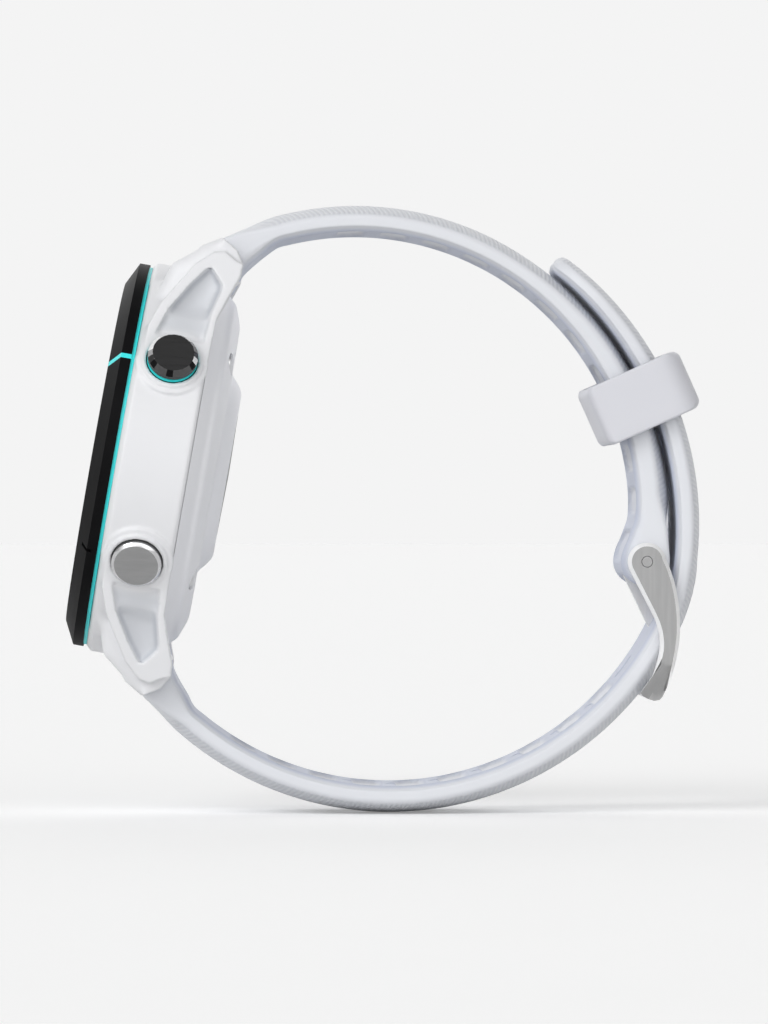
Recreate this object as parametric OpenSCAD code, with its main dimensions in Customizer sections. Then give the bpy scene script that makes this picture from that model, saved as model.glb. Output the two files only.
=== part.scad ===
// Small five-button running watch with a buckled quick-release band.
// Row frame: X runs from the display to the buckle, Y along the spring bars, Z up.
// Case frame: x is depth behind the bezel's front plane, y is the row's Y,
// z points to 12 o'clock. The case leans back in the row frame by case_tilt.

/* [Case] */
// Radius of the case's side wall
case_r = 21.2; // [21.1:0.05:21.4]
// Radius of the bezel's side
bezel_r = 20.85; // [20.75:0.05:21]
// Radius of the bezel's front rim
bezel_rim_r = 18.46; // [18.3:0.02:18.6]
// Depth of the bezel's back edge
bezel_back = 2.3; // [2.2:0.05:2.4]
// Depth of the trim ring's back edge
trim_back = 2.65; // [2.6:0.05:2.75]
// Depth where the side wall ends and the back cover starts
wall_back = 10.3; // [10.2:0.05:10.4]
// Depth of the flat back
cover_back = 13.0; // [12.9:0.05:13.1]
// Depth of the sensor bump's top
bump_back = 14.4; // [14.2:0.05:14.6]
// Radius of the lens
lens_r = 17.95; // [17.8:0.05:17.95]
// Lean of the case, degrees
case_tilt = 10; // [9.8:0.1:10.2]

/* [Buttons] */
// Depth of the button axes
button_d = 6.6; // [6.4:0.1:6.8]
// Radius of a button's cap
cap_r = 2.65; // [2.6:0.05:2.7]
// Gap between a cap and its pocket
cap_gap = 0.1; // [0.08:0.01:0.12]
// Outer radius of the ring around a button
boss_r = 3.25; // [3.2:0.05:3.4]
// Distance of that ring's face from the case axis
boss_out = 21.6; // [21.5:0.05:21.7]

/* [Band] */
// Width of the band at the lugs
band_w = 18; // [17.8:0.1:18]
// Width of the band at the buckle
band_tip_w = 16; // [15.6:0.1:16.4]
// Thickness of the band's edge
band_edge = 1.68; // [1.5:0.02:1.8]
// Thickness of the band at its middle
band_t = 2.9; // [2.7:0.05:2.9]
// Inner radius of the upper strap
upper_r = 30.04; // [29.9:0.02:30.1]
// Inner radius of the lower strap
lower_r = 31.7; // [31.6:0.05:31.75]
// Outer radius of the lower strap's free end
tail_out_r = 35.78; // [35.7:0.02:35.8]
// Length of a hole in the band
hole_l = 3.0; // [2.6:0.1:3.2]
// Width of a hole in the band
hole_w = 2.4; // [2.3:0.1:2.6]
// Distance from hole to hole along the band
hole_pitch = 4.7; // [4.5:0.1:4.9]

/* [Buckle] */
// Radius of the strap's end around the buckle pin
knuckle_r = 2.65; // [2.5:0.05:2.7]
// Radius of the buckle pin
pin_r = 0.55; // [0.5:0.01:0.56]
// Outer radius of the buckle's curved arm
arm_out_r = 17.1; // [17:0.05:17.2]
// Inner radius of the buckle's curved arm
arm_in_r = 15.2; // [15.1:0.05:15.4]
// Thickness of a buckle arm
arm_t = 1.5; // [1.3:0.05:1.6]
// Width of the buckle's tongue
tongue_w = 1.9; // [1.7:0.1:2]

/* [Keeper] */
// Size of the keeper through the band
keeper_deep = 10.85; // [10.8:0.05:10.9]
// Size of the keeper along the band
keeper_long = 6.6; // [6.4:0.05:6.8]
// Wall of the keeper beside the band
keeper_wall = 1.6; // [1.4:0.05:1.8]

/* [Hidden] */

round_fn = 96;
small_fn = 32;

// Place of the case in the row frame: the middle of the bezel's front plane.
case_x = -30.97;
case_z = 38.77;

// Angles of the buttons, from 3 o'clock towards 12 o'clock.
START = 30;
BACK = -30;
LIGHT = 150;
UP = 180;
DOWN = 210;
BUTTON_ANGLES = [START, BACK, LIGHT, UP, DOWN];

// Button stack, as distances from the case axis.
cavity_r = 18.2;
seat_cavity_r = 17.4;
seat_front = 8.7;
pocket_floor = 19.4;
stem_r = 1.12;
bore_r = 1.2;
groove_r = 0.8;
head_under = 20.6;
switch_top = 16.65;
stem_end = 17.2;
clip_at = 17.72;
clip_t = 0.25;
clip_r = 1.9;
left_boss_out = 21.3;

// Spring bars, in the case frame.
bar_d = 9.9;
bar_h = 21.6;
bar_r = 0.9;
bar_bore_r = 0.95;
tip_r = 0.4;
tip_bore_r = 0.45;
tip_end = 10.3;
lug_in = band_w / 2 + 0.15;
root_r = 2.15;
relief_r = 2.55;

// Centres of the band's arcs, in the row's X and Z.
upper_c = [-3.0, 32.33];
lower_c = [0.72, 34.6];
tail_c = [-1.74, 31.04];
tail_in_c = [-4.0, 30.7];
tail_in_r = 35.2;
blend_in_r = 17.5;
upper_start = 105;
upper_end = 2;
lower_start = -131;
tail_tip = 54.4;
lap = 0.3;

// Buckle.
pin_c = [27.9, 27.0];
pin_bore_r = pin_r + 0.07;
arm_c = [14.33, 20.3];
arm_in_y = 8.45;
bar_top_a = -23;
bar_round_a = -26.8;
bar_low_a = -30.1;
crossbar_in_r = 15.95;
notch_r = 16.55;
tongue_in = 2.42;
tongue_out = 1.32;

// Keeper.
keeper_c = [27.43, 44.43];
keeper_lean = 24;
keeper_low = -4.37;
keeper_high = 4.16;

white = [0.86, 0.87, 0.9];
soft_white = [0.8, 0.82, 0.87];
black = [0.08, 0.08, 0.09];
aqua = [0.2, 0.87, 0.87];
steel = [0.72, 0.72, 0.72];
gunmetal = [0.2, 0.2, 0.21];
gold = [0.85, 0.68, 0.32];
green = [0.1, 0.35, 0.2];

// ---- Helpers ----

function polar(c, r, a) = [c[0] + r * cos(a), c[1] + r * sin(a)];

function arc(c, r, a0, a1, n) =
    [for (i = [0:n]) polar(c, r, a0 + (a1 - a0) * i / n)];

// A point of the case frame's (depth, height) plane in the row's X and Z.
function row(p) = [
    case_x + p[0] * cos(case_tilt) + p[1] * sin(case_tilt),
    case_z - p[0] * sin(case_tilt) + p[1] * cos(case_tilt)
];

// The point at distances r1 from c1 and r2 from c2.
function meet(c1, r1, c2, r2) =
    let (d = norm(c2 - c1))
    let (a = (r1 * r1 - r2 * r2 + d * d) / (2 * d))
    let (h = sqrt(r1 * r1 - a * a))
    let (u = (c2 - c1) / d)
    c1 + a * u + h * [-u[1], u[0]];

function bearing(c, p) = atan2(p[1] - c[1], p[0] - c[0]);

// Section of the band as [radius, y]: flat inside, crowned outside.
function crowned(r_in) = concat(
    [[r_in, -band_w / 2], [r_in, band_w / 2]],
    [for (i = [0:10])
        let (y = band_w / 2 * (1 - i / 5))
        let (rise = 1 - pow(abs(y) / (band_w / 2), 2.4))
        [r_in + band_edge + (band_t - band_edge) * rise, y]]
);

module in_case() {
    translate([case_x, 0, case_z])
        rotate([0, case_tilt, 0])
            children();
}

// Revolves an outline of [radius, depth] points about the case axis.
module turned(outline) {
    rotate([0, 90, 0])
        rotate_extrude($fn = round_fn)
            polygon(outline);
}

// A ring or disc in the case frame.
module disc(r, d0, d1, hole = 0) {
    turned([[hole, d0], [r, d0], [r, d1], [hole, d1]]);
}

// Puts children on a button's axis: z is the distance from the case axis.
module at_button(angle) {
    translate([button_d, 0, 0])
        rotate([90 - angle, 0, 0])
            children();
}

module between(z0, z1, r, fn = small_fn) {
    translate([0, 0, z0])
        cylinder(h = z1 - z0, r = r, $fn = fn);
}

// A round bar along y.
module along_y(r, y0, y1) {
    translate([0, y0, 0])
        rotate([-90, 0, 0])
            cylinder(h = y1 - y0, r = r, $fn = small_fn);
}

// Extrudes an outline of the X, Z plane along Y.
module side_extrude(w) {
    rotate([90, 0, 0])
        linear_extrude(w, center = true)
            children();
}

// A stretch of band about a centre in the row's X, Z plane.
module band_arc(c, r_in, a0, a1) {
    translate([c[0], 0, c[1]])
        rotate([90, 0, 0])
            rotate([0, 0, a0])
                rotate_extrude(angle = a1 - a0, $fn = round_fn)
                    polygon(crowned(r_in));
}

// The tapering width of the band, seen from above.
module band_plan() {
    root = band_w / 2;
    tip = band_tip_w / 2;
    translate([0, 0, -5])
        linear_extrude(80)
            polygon([
                [-45, -root], [-15, -root], [32, -tip], [40, -tip],
                [40, tip], [32, tip], [-15, root], [-45, root]
            ]);
}

// A wire coil about z from z0 to z1, as one swept tube.
module coil(r, wire, z0, z1, turns) {
    sides = 6;
    per_turn = 12;
    rings = turns * per_turn;
    pts = [for (k = [0:rings])
        let (a = 360 * k / per_turn)
        for (s = [0:sides - 1])
            let (b = 360 * s / sides)
            let (q = r + wire * cos(b))
            [q * cos(a), q * sin(a),
             z0 + wire + (z1 - z0 - 2 * wire) * k / rings + wire * sin(b)]];
    walls = [for (k = [0:rings - 1], s = [0:sides - 1])
        let (n = (s + 1) % sides)
        [k * sides + s, k * sides + n, (k + 1) * sides + n, (k + 1) * sides + s]];
    first = [for (s = [0:sides - 1]) sides - 1 - s];
    last = [for (s = [0:sides - 1]) rings * sides + s];
    polyhedron(points = pts, faces = concat(walls, [first, last]), convexity = 6);
}

// ---- Case ----

lug_back = [[12.2, 22.2], [12.15, 20.9], [11.3, 18.5], [10.4, 15.7], [10.35, 11]];
lug_inner_outline = concat(
    [[3.3, 11], [3.4, 17], [4.77, 21.07], [7.05, 22.9], [7.5, 23.5],
     [9.5, 24.7], [11.3, 23.6]],
    lug_back
);
lug_outer_outline = concat(
    [[3.3, 11], [3.45, 14.1], [4.3, 16.6], [5.6, 18.8], [7.15, 21.3],
     [8.9, 22.95], [10.1, 23.2], [11.4, 22.4]],
    lug_back
);
lug_plan = [
    [lug_in, 11], [18.4, 11], [17.3, 13.2], [13.4, 24], [12.6, 25], [lug_in, 25]
];
pocket_outline = [
    [4.3, 13.2], [5.3, 16.2], [7.1, 19.2], [8.5, 21.1], [9.05, 21.2],
    [10.4, 19.6], [10.4, 18.9], [9.8, 16.5], [9.5, 13.2]
];
pocket_plan = [
    [30, 12], [17, 12], [15.8, 15.6], [14.3, 16.6], [12.7, 22], [30, 22]
];

module lug_slice(outline, y0, y1) {
    intersection() {
        translate([0, y1, 0])
            rotate([90, 0, 0])
                linear_extrude(y1 - y0)
                    polygon(outline);
        lug_tool(lug_plan);
    }
}

// Extrudes an outline of the (y, height) plane along the depth.
module lug_tool(outline) {
    rotate([90, 0, 90])
        linear_extrude(14)
            polygon(outline);
}

module lug() {
    lug_slice(lug_inner_outline, lug_in, 12.4);
    lug_slice(lug_outer_outline, 12, 18.6);
}

module lug_pocket() {
    intersection() {
        translate([0, 25, 0])
            rotate([90, 0, 0])
                linear_extrude(20)
                    polygon(pocket_outline);
        lug_tool(pocket_plan);
    }
}

module four_corners() {
    for (side = [0, 1], end = [0, 1])
        mirror([0, side, 0])
            mirror([0, 0, end])
                children();
}

screw_y = 11.45;
module screw_place() {
    four_corners()
        translate([0, screw_y, screw_y])
            rotate([0, 90, 0])
                children();
}

module bar_reliefs(r) {
    for (end = [-1, 1])
        translate([bar_d, 0, end * bar_h])
            along_y(r, -lug_in, lug_in);
}

// The cavity and the back cover's outside, which the lugs stay clear of.
module case_inside() {
    turned([
        [0, 0], [case_r - 1, 0], [case_r - 1, 5], [cavity_r + 0.2, 5],
        [cavity_r + 0.2, wall_back - 0.5], [case_r - 0.2, wall_back - 0.05],
        [18.8, 11.55], [18.35, 12.15], [16.3, 12.9], [0, 13.1]
    ]);
}

module front_housing() {
    color(white)
        in_case()
            difference() {
                union() {
                    difference() {
                        turned([
                            [18.6, bezel_back], [19.5, bezel_back], [19.5, trim_back],
                            [case_r - 0.5, trim_back], [case_r, trim_back + 0.55],
                            [case_r, wall_back - 0.3], [case_r - 0.3, wall_back],
                            [seat_cavity_r, wall_back], [seat_cavity_r, seat_front],
                            [cavity_r, seat_front], [cavity_r, 3.5], [18.6, 3.5]
                        ]);
                        bar_reliefs(relief_r);
                    }
                    difference() {
                        four_corners() lug();
                        case_inside();
                    }
                    for (a = BUTTON_ANGLES)
                        at_button(a)
                            between(18.9, a == UP ? left_boss_out : boss_out, boss_r, 64);
                    screw_place()
                        between(7.2, wall_back, 1.7);
                }
                four_corners() lug_pocket();
                for (a = BUTTON_ANGLES)
                    at_button(a) {
                        between(pocket_floor, 24, cap_r + cap_gap, 64);
                        between(17, 20, bore_r);
                    }
                for (end = [-1, 1])
                    translate([bar_d, 0, end * bar_h])
                        along_y(tip_bore_r, -10.6, 10.6);
                screw_place()
                    between(7.8, wall_back + 1, 0.6);
                turned([
                    [17.75, wall_back - 0.45], [18.45, wall_back - 0.45],
                    [18.45, wall_back + 1], [17.75, wall_back + 1]
                ]);
            }
}

mark_w = 0.55;
mark_deep = 0.4;
bezel_side = [
    [18.0, 0], [bezel_rim_r, 0], [bezel_r, 1.2], [bezel_r, bezel_back],
    [17.0, bezel_back], [17.0, 1.35], [18.0, 1.35]
];

// The strip of the bezel that the coloured mark fills.
module mark_slab(extra) {
    rotate([90 - START, 0, 0])
        translate([-1, -mark_w / 2 - extra, 17])
            cube([5, mark_w + 2 * extra, 6]);
}

module mark_skin() {
    difference() {
        turned([
            [bezel_rim_r, -1], [22, -1], [22, bezel_back],
            [bezel_r - mark_deep, bezel_back], [bezel_r - mark_deep, 1.35],
            [bezel_rim_r - mark_deep, 0.15], [bezel_rim_r - mark_deep, -1]
        ]);
        disc(30, -2, 0.02);
    }
}

module bezel() {
    color(black)
        in_case()
            difference() {
                turned(bezel_side);
                intersection() {
                    mark_skin();
                    mark_slab(0);
                }
                rotate([90 - BACK, 0, 0])
                    translate([0.45, -0.2, 19.35])
                        rotate([0, 26, 0])
                            cube([0.5, 0.35, 2]);
            }
}

module trim_ring() {
    color(aqua)
        in_case()
            union() {
                disc(bezel_r - 0.25, bezel_back, trim_back, 19.5);
                intersection() {
                    turned(bezel_side);
                    mark_skin();
                    mark_slab(0);
                }
            }
}

module lens() {
    color([0.1, 0.12, 0.14])
        in_case()
            turned([
                [0, 0.2], [lens_r - 0.25, 0.2], [lens_r, 0.45], [lens_r, 1.2], [0, 1.2]
            ]);
}

module lens_adhesive() {
    color(black)
        in_case()
            disc(lens_r, 1.2, 1.35, 17.0);
}

module display_panel() {
    color([0.12, 0.16, 0.15])
        in_case()
            union() {
                disc(15.6, 1.2, 2.6);
                translate([1.8, -4, -16.4])
                    cube([0.5, 8, 1.6]);
            }
}

module inner_frame() {
    color([0.3, 0.3, 0.32])
        in_case()
            difference() {
                turned([
                    [0, 2.75], [16.7, 2.75], [16.7, 4.9], [16.0, 4.9],
                    [16.0, 3.4], [0, 3.4]
                ]);
                translate([2, -4.5, -20])
                    cube([4, 9, 6]);
            }
}

module antenna_ring() {
    color([0.8, 0.55, 0.3])
        in_case()
            difference() {
                disc(18.1, 2.45, 3.45, 16.95);
                translate([2, -1, 14])
                    cube([2, 2, 6]);
            }
}

module main_board() {
    chips = [[-6, 5, 5, 5], [3, 4, 7, 5], [-9, -3, 4, 4], [-2, -7, 6, 4], [6, -6, 4, 5]];
    color(green)
        in_case()
            union() {
                disc(15.0, 4.9, 5.6);
                for (c = chips)
                    translate([5.5, c[0] - c[2] / 2, c[1] - c[3] / 2])
                        cube([1.0, c[2], c[3]]);
                translate([3.7, -7, -5])
                    cube([1.3, 14, 11]);
            }
}

// Side switches that the button stems press, each on its own small carrier.
module button_switches() {
    color(steel)
        in_case()
            for (a = BUTTON_ANGLES)
                at_button(a) {
                    translate([-1.3, -1.5, 15.3])
                        cube([2.6, 3.0, 1.0]);
                    between(16.2, switch_top, 0.7);
                }
}

module battery() {
    color([0.55, 0.57, 0.6])
        in_case()
            union() {
                translate([6.7, -8.5, -5.5])
                    cube([3.2, 17, 17]);
                translate([7.2, -3, -6.6])
                    cube([2, 6, 1.2]);
            }
}

module vibration_motor() {
    color(steel)
        in_case()
            translate([0, -4.8, -10.4])
                rotate([0, 90, 0]) {
                    between(6.7, 9.3, 3.6);
                    between(9.3, 9.5, 2.6);
                }
}

module buzzer() {
    color(gold)
        in_case()
            translate([0, 4.8, -10.4])
                rotate([0, 90, 0]) {
                    between(9.6, 9.85, 4.4);
                    between(9.3, 9.6, 3.2);
                }
}

module sensor_board() {
    color(green)
        in_case()
            union() {
                disc(7.6, 12.0, 12.5);
                for (k = [0:2])
                    rotate([120 * k, 0, 0])
                        translate([12.4, -0.8, 3.2])
                            cube([0.8, 1.6, 1.6]);
                translate([12.4, -1.2, -1.2])
                    cube([0.8, 2.4, 2.4]);
            }
}

module sensor_window() {
    color([0.05, 0.06, 0.07])
        in_case()
            turned([[0, 13.45], [6.55, 13.45], [6.55, bump_back], [0, bump_back + 0.12]]);
}

module back_gasket() {
    color(black)
        in_case()
            disc(18.4, wall_back - 0.42, wall_back, 17.8);
}

contact_h = -12.6;
contact_pitch = 2.0;
module contact_places() {
    for (k = [0:3])
        translate([0, (k - 1.5) * contact_pitch, contact_h])
            rotate([0, 90, 0])
                children();
}

module back_cover() {
    color(white)
        in_case()
            difference() {
                turned([
                    [seat_cavity_r, wall_back], [case_r - 0.3, wall_back],
                    [18.75, 11.5], [18.3, 12.1], [16.3, 12.85], [15.6, cover_back],
                    [10.75, cover_back], [9.7, cover_back + 1.05],
                    [8.95, bump_back], [6.6, bump_back], [6.6, 13.45],
                    [8.2, 13.2], [8.6, 11.9], [15.5, 11.9], [16.9, 11.3]
                ]);
                bar_reliefs(relief_r);
                screw_place() {
                    between(10, 14, 0.65);
                    between(12.0, 14, 1.3);
                }
                translate([11, -4.7, contact_h - 1.6])
                    cube([3, 9.4, 3.2]);
            }
}

module back_screws() {
    color(steel)
        in_case()
            screw_place()
                difference() {
                    union() {
                        between(8.0, 12.0, 0.6);
                        between(12.0, 12.6, 1.15);
                    }
                    translate([0, 0, 12.25])
                        cylinder(h = 1, r = 0.45, $fn = 6);
                }
}

module contact_carrier() {
    color(black)
        in_case()
            difference() {
                translate([11.5, -4.65, contact_h - 1.55])
                    cube([1.25, 9.3, 3.1]);
                contact_places()
                    between(11, 14, 0.6);
            }
}

module charging_contacts() {
    color(gold)
        in_case()
            contact_places() {
                between(11.2, 12.9, 0.55);
                between(11.2, 11.5, 0.8);
            }
}

// ---- Buttons ----

// A cap whose face ends at face_out, on the stem that presses the switch.
module button(angle, face_out, face_r, bevel, tint, ring_seat = false) {
    color(tint)
        in_case()
            at_button(angle)
                difference() {
                    union() {
                        between(stem_end, head_under + 0.1, stem_r);
                        rotate_extrude($fn = 64)
                            polygon([
                                [0, head_under], [cap_r, head_under],
                                [cap_r, face_out - bevel], [face_r, face_out],
                                [0, face_out]
                            ]);
                    }
                    rotate_extrude($fn = small_fn)
                        polygon([
                            [groove_r, 18.66], [2, 18.66], [2, 19.1], [groove_r, 19.1]
                        ]);
                    rotate_extrude($fn = small_fn)
                        polygon([
                            [0.7, clip_at], [2, clip_at],
                            [2, clip_at + clip_t], [0.7, clip_at + clip_t]
                        ]);
                    if (ring_seat)
                        rotate_extrude($fn = 64)
                            polygon([
                                [cap_r - 0.3, ring_low], [4, ring_low],
                                [4, ring_high], [cap_r - 0.3, ring_high]
                            ]);
                }
}

start_face = 23.0;
ring_high = start_face - 1.15;
ring_low = ring_high - 0.35;

module start_button() {
    button(START, start_face, 2.27, 0.62, gunmetal, true);
}

module start_ring() {
    color(aqua)
        in_case()
            at_button(START)
                rotate_extrude($fn = 64)
                    polygon([
                        [cap_r - 0.3, ring_low], [cap_r, ring_low],
                        [cap_r, ring_high], [cap_r - 0.3, ring_high]
                    ]);
}

module back_button() {
    button(BACK, 22.3, 2.36, 0.35, steel);
}

module light_button() {
    button(LIGHT, 22.3, 2.36, 0.35, steel);
}

module up_button() {
    button(UP, 21.9, 2.36, 0.35, steel);
}

module down_button() {
    button(DOWN, 22.3, 2.36, 0.35, steel);
}

module oring(angle) {
    color(black)
        in_case()
            at_button(angle)
                translate([0, 0, 18.88])
                    rotate_extrude($fn = small_fn)
                        translate([0.98, 0])
                            circle(r = 0.165, $fn = 24);
}

module clip(angle) {
    color(steel)
        in_case()
            at_button(angle)
                difference() {
                    between(clip_at, clip_at + clip_t, clip_r);
                    between(17, 19, 0.7);
                    translate([-0.5, 0, 17])
                        cube([1, 3, 2]);
                }
}

module button_spring(angle) {
    color(steel)
        in_case()
            at_button(angle)
                coil(1.75, 0.11, pocket_floor + 0.02, head_under - 0.02, 3);
}

// ---- Spring bars ----

release_dir = [0.75, -0.66];
spring_y0 = -5.4;
spring_y1 = -2.6;

// Puts children on a spring bar; end is 1 at 12 o'clock and -1 at 6 o'clock.
module at_bar(end) {
    in_case()
        mirror([0, 0, end < 0 ? 1 : 0])
            translate([bar_d, 0, bar_h])
                children();
}

module lever_turn() {
    rotate([0, atan2(-release_dir[1], release_dir[0]), 0])
        children();
}

module spring_bar(end) {
    color(steel)
        at_bar(end)
            difference() {
                union() {
                    along_y(bar_r, -8.7, 8.7);
                    along_y(tip_r, 8, tip_end);
                }
                along_y(0.65, -9, spring_y1);
                lever_turn()
                    translate([0, -7.9, -0.5])
                        cube([2, 2.9, 1]);
            }
}

module release_pin(end) {
    color(steel)
        at_bar(end)
            union() {
                along_y(tip_r, -tip_end, -5.6);
                along_y(0.58, -7.6, spring_y0);
                lever_turn() {
                    translate([0.2, -7.5, -0.35])
                        cube([1.9, 1.1, 0.7]);
                    translate([1.9, -7.6, -0.6])
                        cube([0.6, 1.3, 1.2]);
                }
            }
}

module bar_spring(end) {
    color(steel)
        at_bar(end)
            rotate([90, 0, 0])
                coil(0.42, 0.09, -spring_y1 + 0.02, -spring_y0 - 0.02, 6);
}

// ---- Straps ----

// The strap's end in the lugs, from the bar to the first arc.
module strap_root(end, arc_c, r_in, a0) {
    pts = [
        [8.45, 22.9], [8.92, 24.65], [10.68, 26.23],
        [13.01, 23.35], [12.3, 21.6], [12.1, 19.4], [11.5, 19.5], [10.9, 20.3]
    ];
    at = [for (p = pts) row([p[0], end * p[1]])];
    side_extrude(band_w + 1)
        polygon([
            at[0], at[1], at[2],
            polar(arc_c, r_in + band_t, a0), polar(arc_c, r_in, a0),
            at[3], at[4], at[5], at[6], at[7]
        ]);
    at_bar(end)
        along_y(root_r, -band_w / 2 - 0.5, band_w / 2 + 0.5);
}

// Room in the strap for the bar, its lever and the lever's slide.
module root_cuts(end) {
    at_bar(end) {
        along_y(bar_bore_r, -10, 10);
        lever_turn()
            translate([0, -8.1, -0.85])
                cube([4, 3.5, 1.7]);
    }
}

// A pill-shaped hole through the band at an angle about its centre.
module band_hole(c, r_in, a) {
    flat = hole_l - hole_w;
    translate([c[0], 0, c[1]])
        rotate([0, -a, 0])
            translate([r_in - 2, 0, 0])
                rotate([0, 90, 0]) {
                    for (s = [-1, 1])
                        translate([s * flat / 2, 0, 0])
                            cylinder(h = 8, r = hole_w / 2, $fn = small_fn);
                    translate([-flat / 2, -hole_w / 2, 0])
                        cube([flat, hole_w, 8]);
                }
}

tongue_dir = [0.434, -0.901];
tongue_side = [-0.901, -0.434];
function tongue_at(side, run) = pin_c + side * tongue_side + run * tongue_dir;

module tongue_slot() {
    side_extrude(hole_w)
        polygon([
            tongue_at(3.15, 3), tongue_at(3.15, 12.2),
            tongue_at(0.55, 12.2), tongue_at(0.55, 3)
        ]);
}

module upper_strap() {
    color(soft_white)
        difference() {
            intersection() {
                union() {
                    strap_root(1, upper_c, upper_r, upper_start);
                    band_arc(upper_c, upper_r, upper_end - lap, upper_start);
                    side_extrude(band_w + 1)
                        polygon([
                            polar(upper_c, upper_r + 1.2, upper_end + 3), [27.09, 34.8], [26.97, 32.3],
                            [26.4, 30.1], [25.9, 28], pin_c,
                            [30.1, 27.9], [30.3, 30.5],
                            polar(upper_c, upper_r + band_edge, upper_end)
                        ]);
                    translate([pin_c[0], 0, pin_c[1]])
                        along_y(knuckle_r, -9.5, 9.5);
                }
                band_plan();
            }
            root_cuts(1);
            translate([pin_c[0], 0, pin_c[1]])
                along_y(pin_bore_r, -10, 10);
            side_extrude(tongue_w + 0.6)
                polygon([
                    pin_c + [-3.2, -4], pin_c + [3.2, -4],
                    pin_c + [3.2, 2.4], pin_c + [-3.2, 2.4]
                ]);
        }
}

tail_blend_c = meet(lower_c, lower_r - blend_in_r, tail_in_c, tail_in_r - blend_in_r);
blend_a0 = bearing(lower_c, tail_blend_c);
blend_a1 = bearing(tail_in_c, tail_blend_c);
tail_a0 = bearing(tail_c, polar(tail_blend_c, blend_in_r + band_t, blend_a1));

module lower_strap() {
    step_low = hole_pitch / lower_r * 180 / PI;
    step_tail = hole_pitch / tail_in_r * 180 / PI;
    color(soft_white)
        difference() {
            intersection() {
                union() {
                    strap_root(-1, lower_c, lower_r, lower_start);
                    band_arc(lower_c, lower_r, lower_start, blend_a0 + lap);
                    band_arc(tail_blend_c, blend_in_r, blend_a0, blend_a1);
                    difference() {
                        band_arc(tail_c, tail_out_r - band_t - 0.6, tail_a0 - lap, tail_tip);
                        translate([tail_in_c[0], 0, tail_in_c[1]])
                            rotate([90, 0, 0])
                                cylinder(h = 30, r = tail_in_r, center = true, $fn = round_fn);
                    }
                }
                band_plan();
            }
            root_cuts(-1);
            tongue_slot();
            for (k = [1:8])
                band_hole(lower_c, lower_r, -28.5 - k * step_low);
            for (k = [1:3])
                band_hole(tail_in_c, tail_in_r, -1.2 + k * step_tail);
        }
}

// ---- Keeper and buckle ----

module keeper() {
    half = band_tip_w / 2 + 0.5;
    outer = half + keeper_wall;
    color(soft_white)
        translate([keeper_c[0], 0, keeper_c[1]])
            rotate([0, -keeper_lean, 0])
                difference() {
                    translate([-keeper_deep / 2, -outer, -keeper_long / 2])
                        cube([keeper_deep, 2 * outer, keeper_long]);
                    translate([keeper_low, -half, -keeper_long])
                        cube([keeper_high - keeper_low, 2 * half, 2 * keeper_long]);
                }
}

// The rounded lower end of the buckle, outside first.
bar_end = [
    polar(arm_c, arm_out_r - 0.12, bar_low_a + 1.8),
    polar(arm_c, arm_out_r - 0.6, bar_low_a + 0.5)
];

arm_outline = concat(
    arc(arm_c, arm_out_r, 23, bar_round_a, 24), bar_end,
    [polar(arm_c, arm_in_r + 0.5, bar_low_a), polar(arm_c, arm_in_r - 0.33, bar_low_a + 0.6)],
    arc(arm_c, arm_in_r, bar_low_a + 3.1, -3, 12),
    [pin_c + [-1.75, -0.97]]
);

module buckle_arm() {
    side_extrude(arm_t)
        polygon(arm_outline);
    translate([pin_c[0], 0, pin_c[1]])
        along_y(2, -arm_t / 2, arm_t / 2);
}

module buckle_frame() {
    color(steel)
        difference() {
            union() {
                for (s = [-1, 1])
                    translate([0, s * (arm_in_y + arm_t / 2), 0])
                        buckle_arm();
                side_extrude(2 * arm_in_y + 0.2)
                    polygon(concat(
                        arc(arm_c, arm_out_r, bar_top_a, bar_round_a, 3), bar_end,
                        arc(arm_c, crossbar_in_r, bar_low_a, bar_top_a, 4)
                    ));
            }
            side_extrude(tongue_w + 0.6)
                polygon(concat(
                    arc(arm_c, arm_out_r + 2, bar_top_a + 5, bar_low_a - 5, 4),
                    arc(arm_c, notch_r, bar_low_a - 5, bar_top_a + 5, 8)
                ));
            translate([pin_c[0], 0, pin_c[1]])
                along_y(pin_r, -11, 11);
        }
}

module buckle_pin() {
    color(steel)
        translate([pin_c[0], 0, pin_c[1]])
            along_y(pin_r, -arm_in_y - arm_t + 0.05, arm_in_y + arm_t - 0.05);
}

module buckle_tongue() {
    color(steel)
        difference() {
            union() {
                side_extrude(tongue_w)
                    polygon(concat(
                        [tongue_at(tongue_in, 0), tongue_at(tongue_in, 10.4)],
                        arc(arm_c, notch_r + 0.05, -16, bar_low_a + 1.8, 5),
                        arc(arm_c, arm_out_r, bar_round_a, -10.5, 6),
                        [tongue_at(tongue_out, 10.2), tongue_at(tongue_out, 0)]
                    ));
                translate([pin_c[0], 0, pin_c[1]])
                    along_y(2.2, -tongue_w / 2, tongue_w / 2);
            }
            translate([pin_c[0], 0, pin_c[1]])
                along_y(pin_bore_r, -5, 5);
        }
}

front_housing();
bezel();
trim_ring();
lens();
lens_adhesive();
display_panel();
inner_frame();
antenna_ring();
main_board();
button_switches();
battery();
vibration_motor();
buzzer();
sensor_board();
sensor_window();
back_gasket();
back_cover();
back_screws();
contact_carrier();
charging_contacts();
start_button();
start_ring();
oring(START);  // start_oring
clip(START);  // start_clip
button_spring(START);  // start_spring
back_button();
oring(BACK);  // back_oring
clip(BACK);  // back_clip
button_spring(BACK);  // back_spring
light_button();
oring(LIGHT);  // light_oring
clip(LIGHT);  // light_clip
button_spring(LIGHT);  // light_spring
up_button();
oring(UP);  // up_oring
clip(UP);  // up_clip
button_spring(UP);  // up_spring
down_button();
oring(DOWN);  // down_oring
clip(DOWN);  // down_clip
button_spring(DOWN);  // down_spring
upper_strap();
spring_bar(1);  // upper_bar
release_pin(1);  // upper_release
bar_spring(1);  // upper_bar_spring
lower_strap();
spring_bar(-1);  // lower_bar
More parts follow.
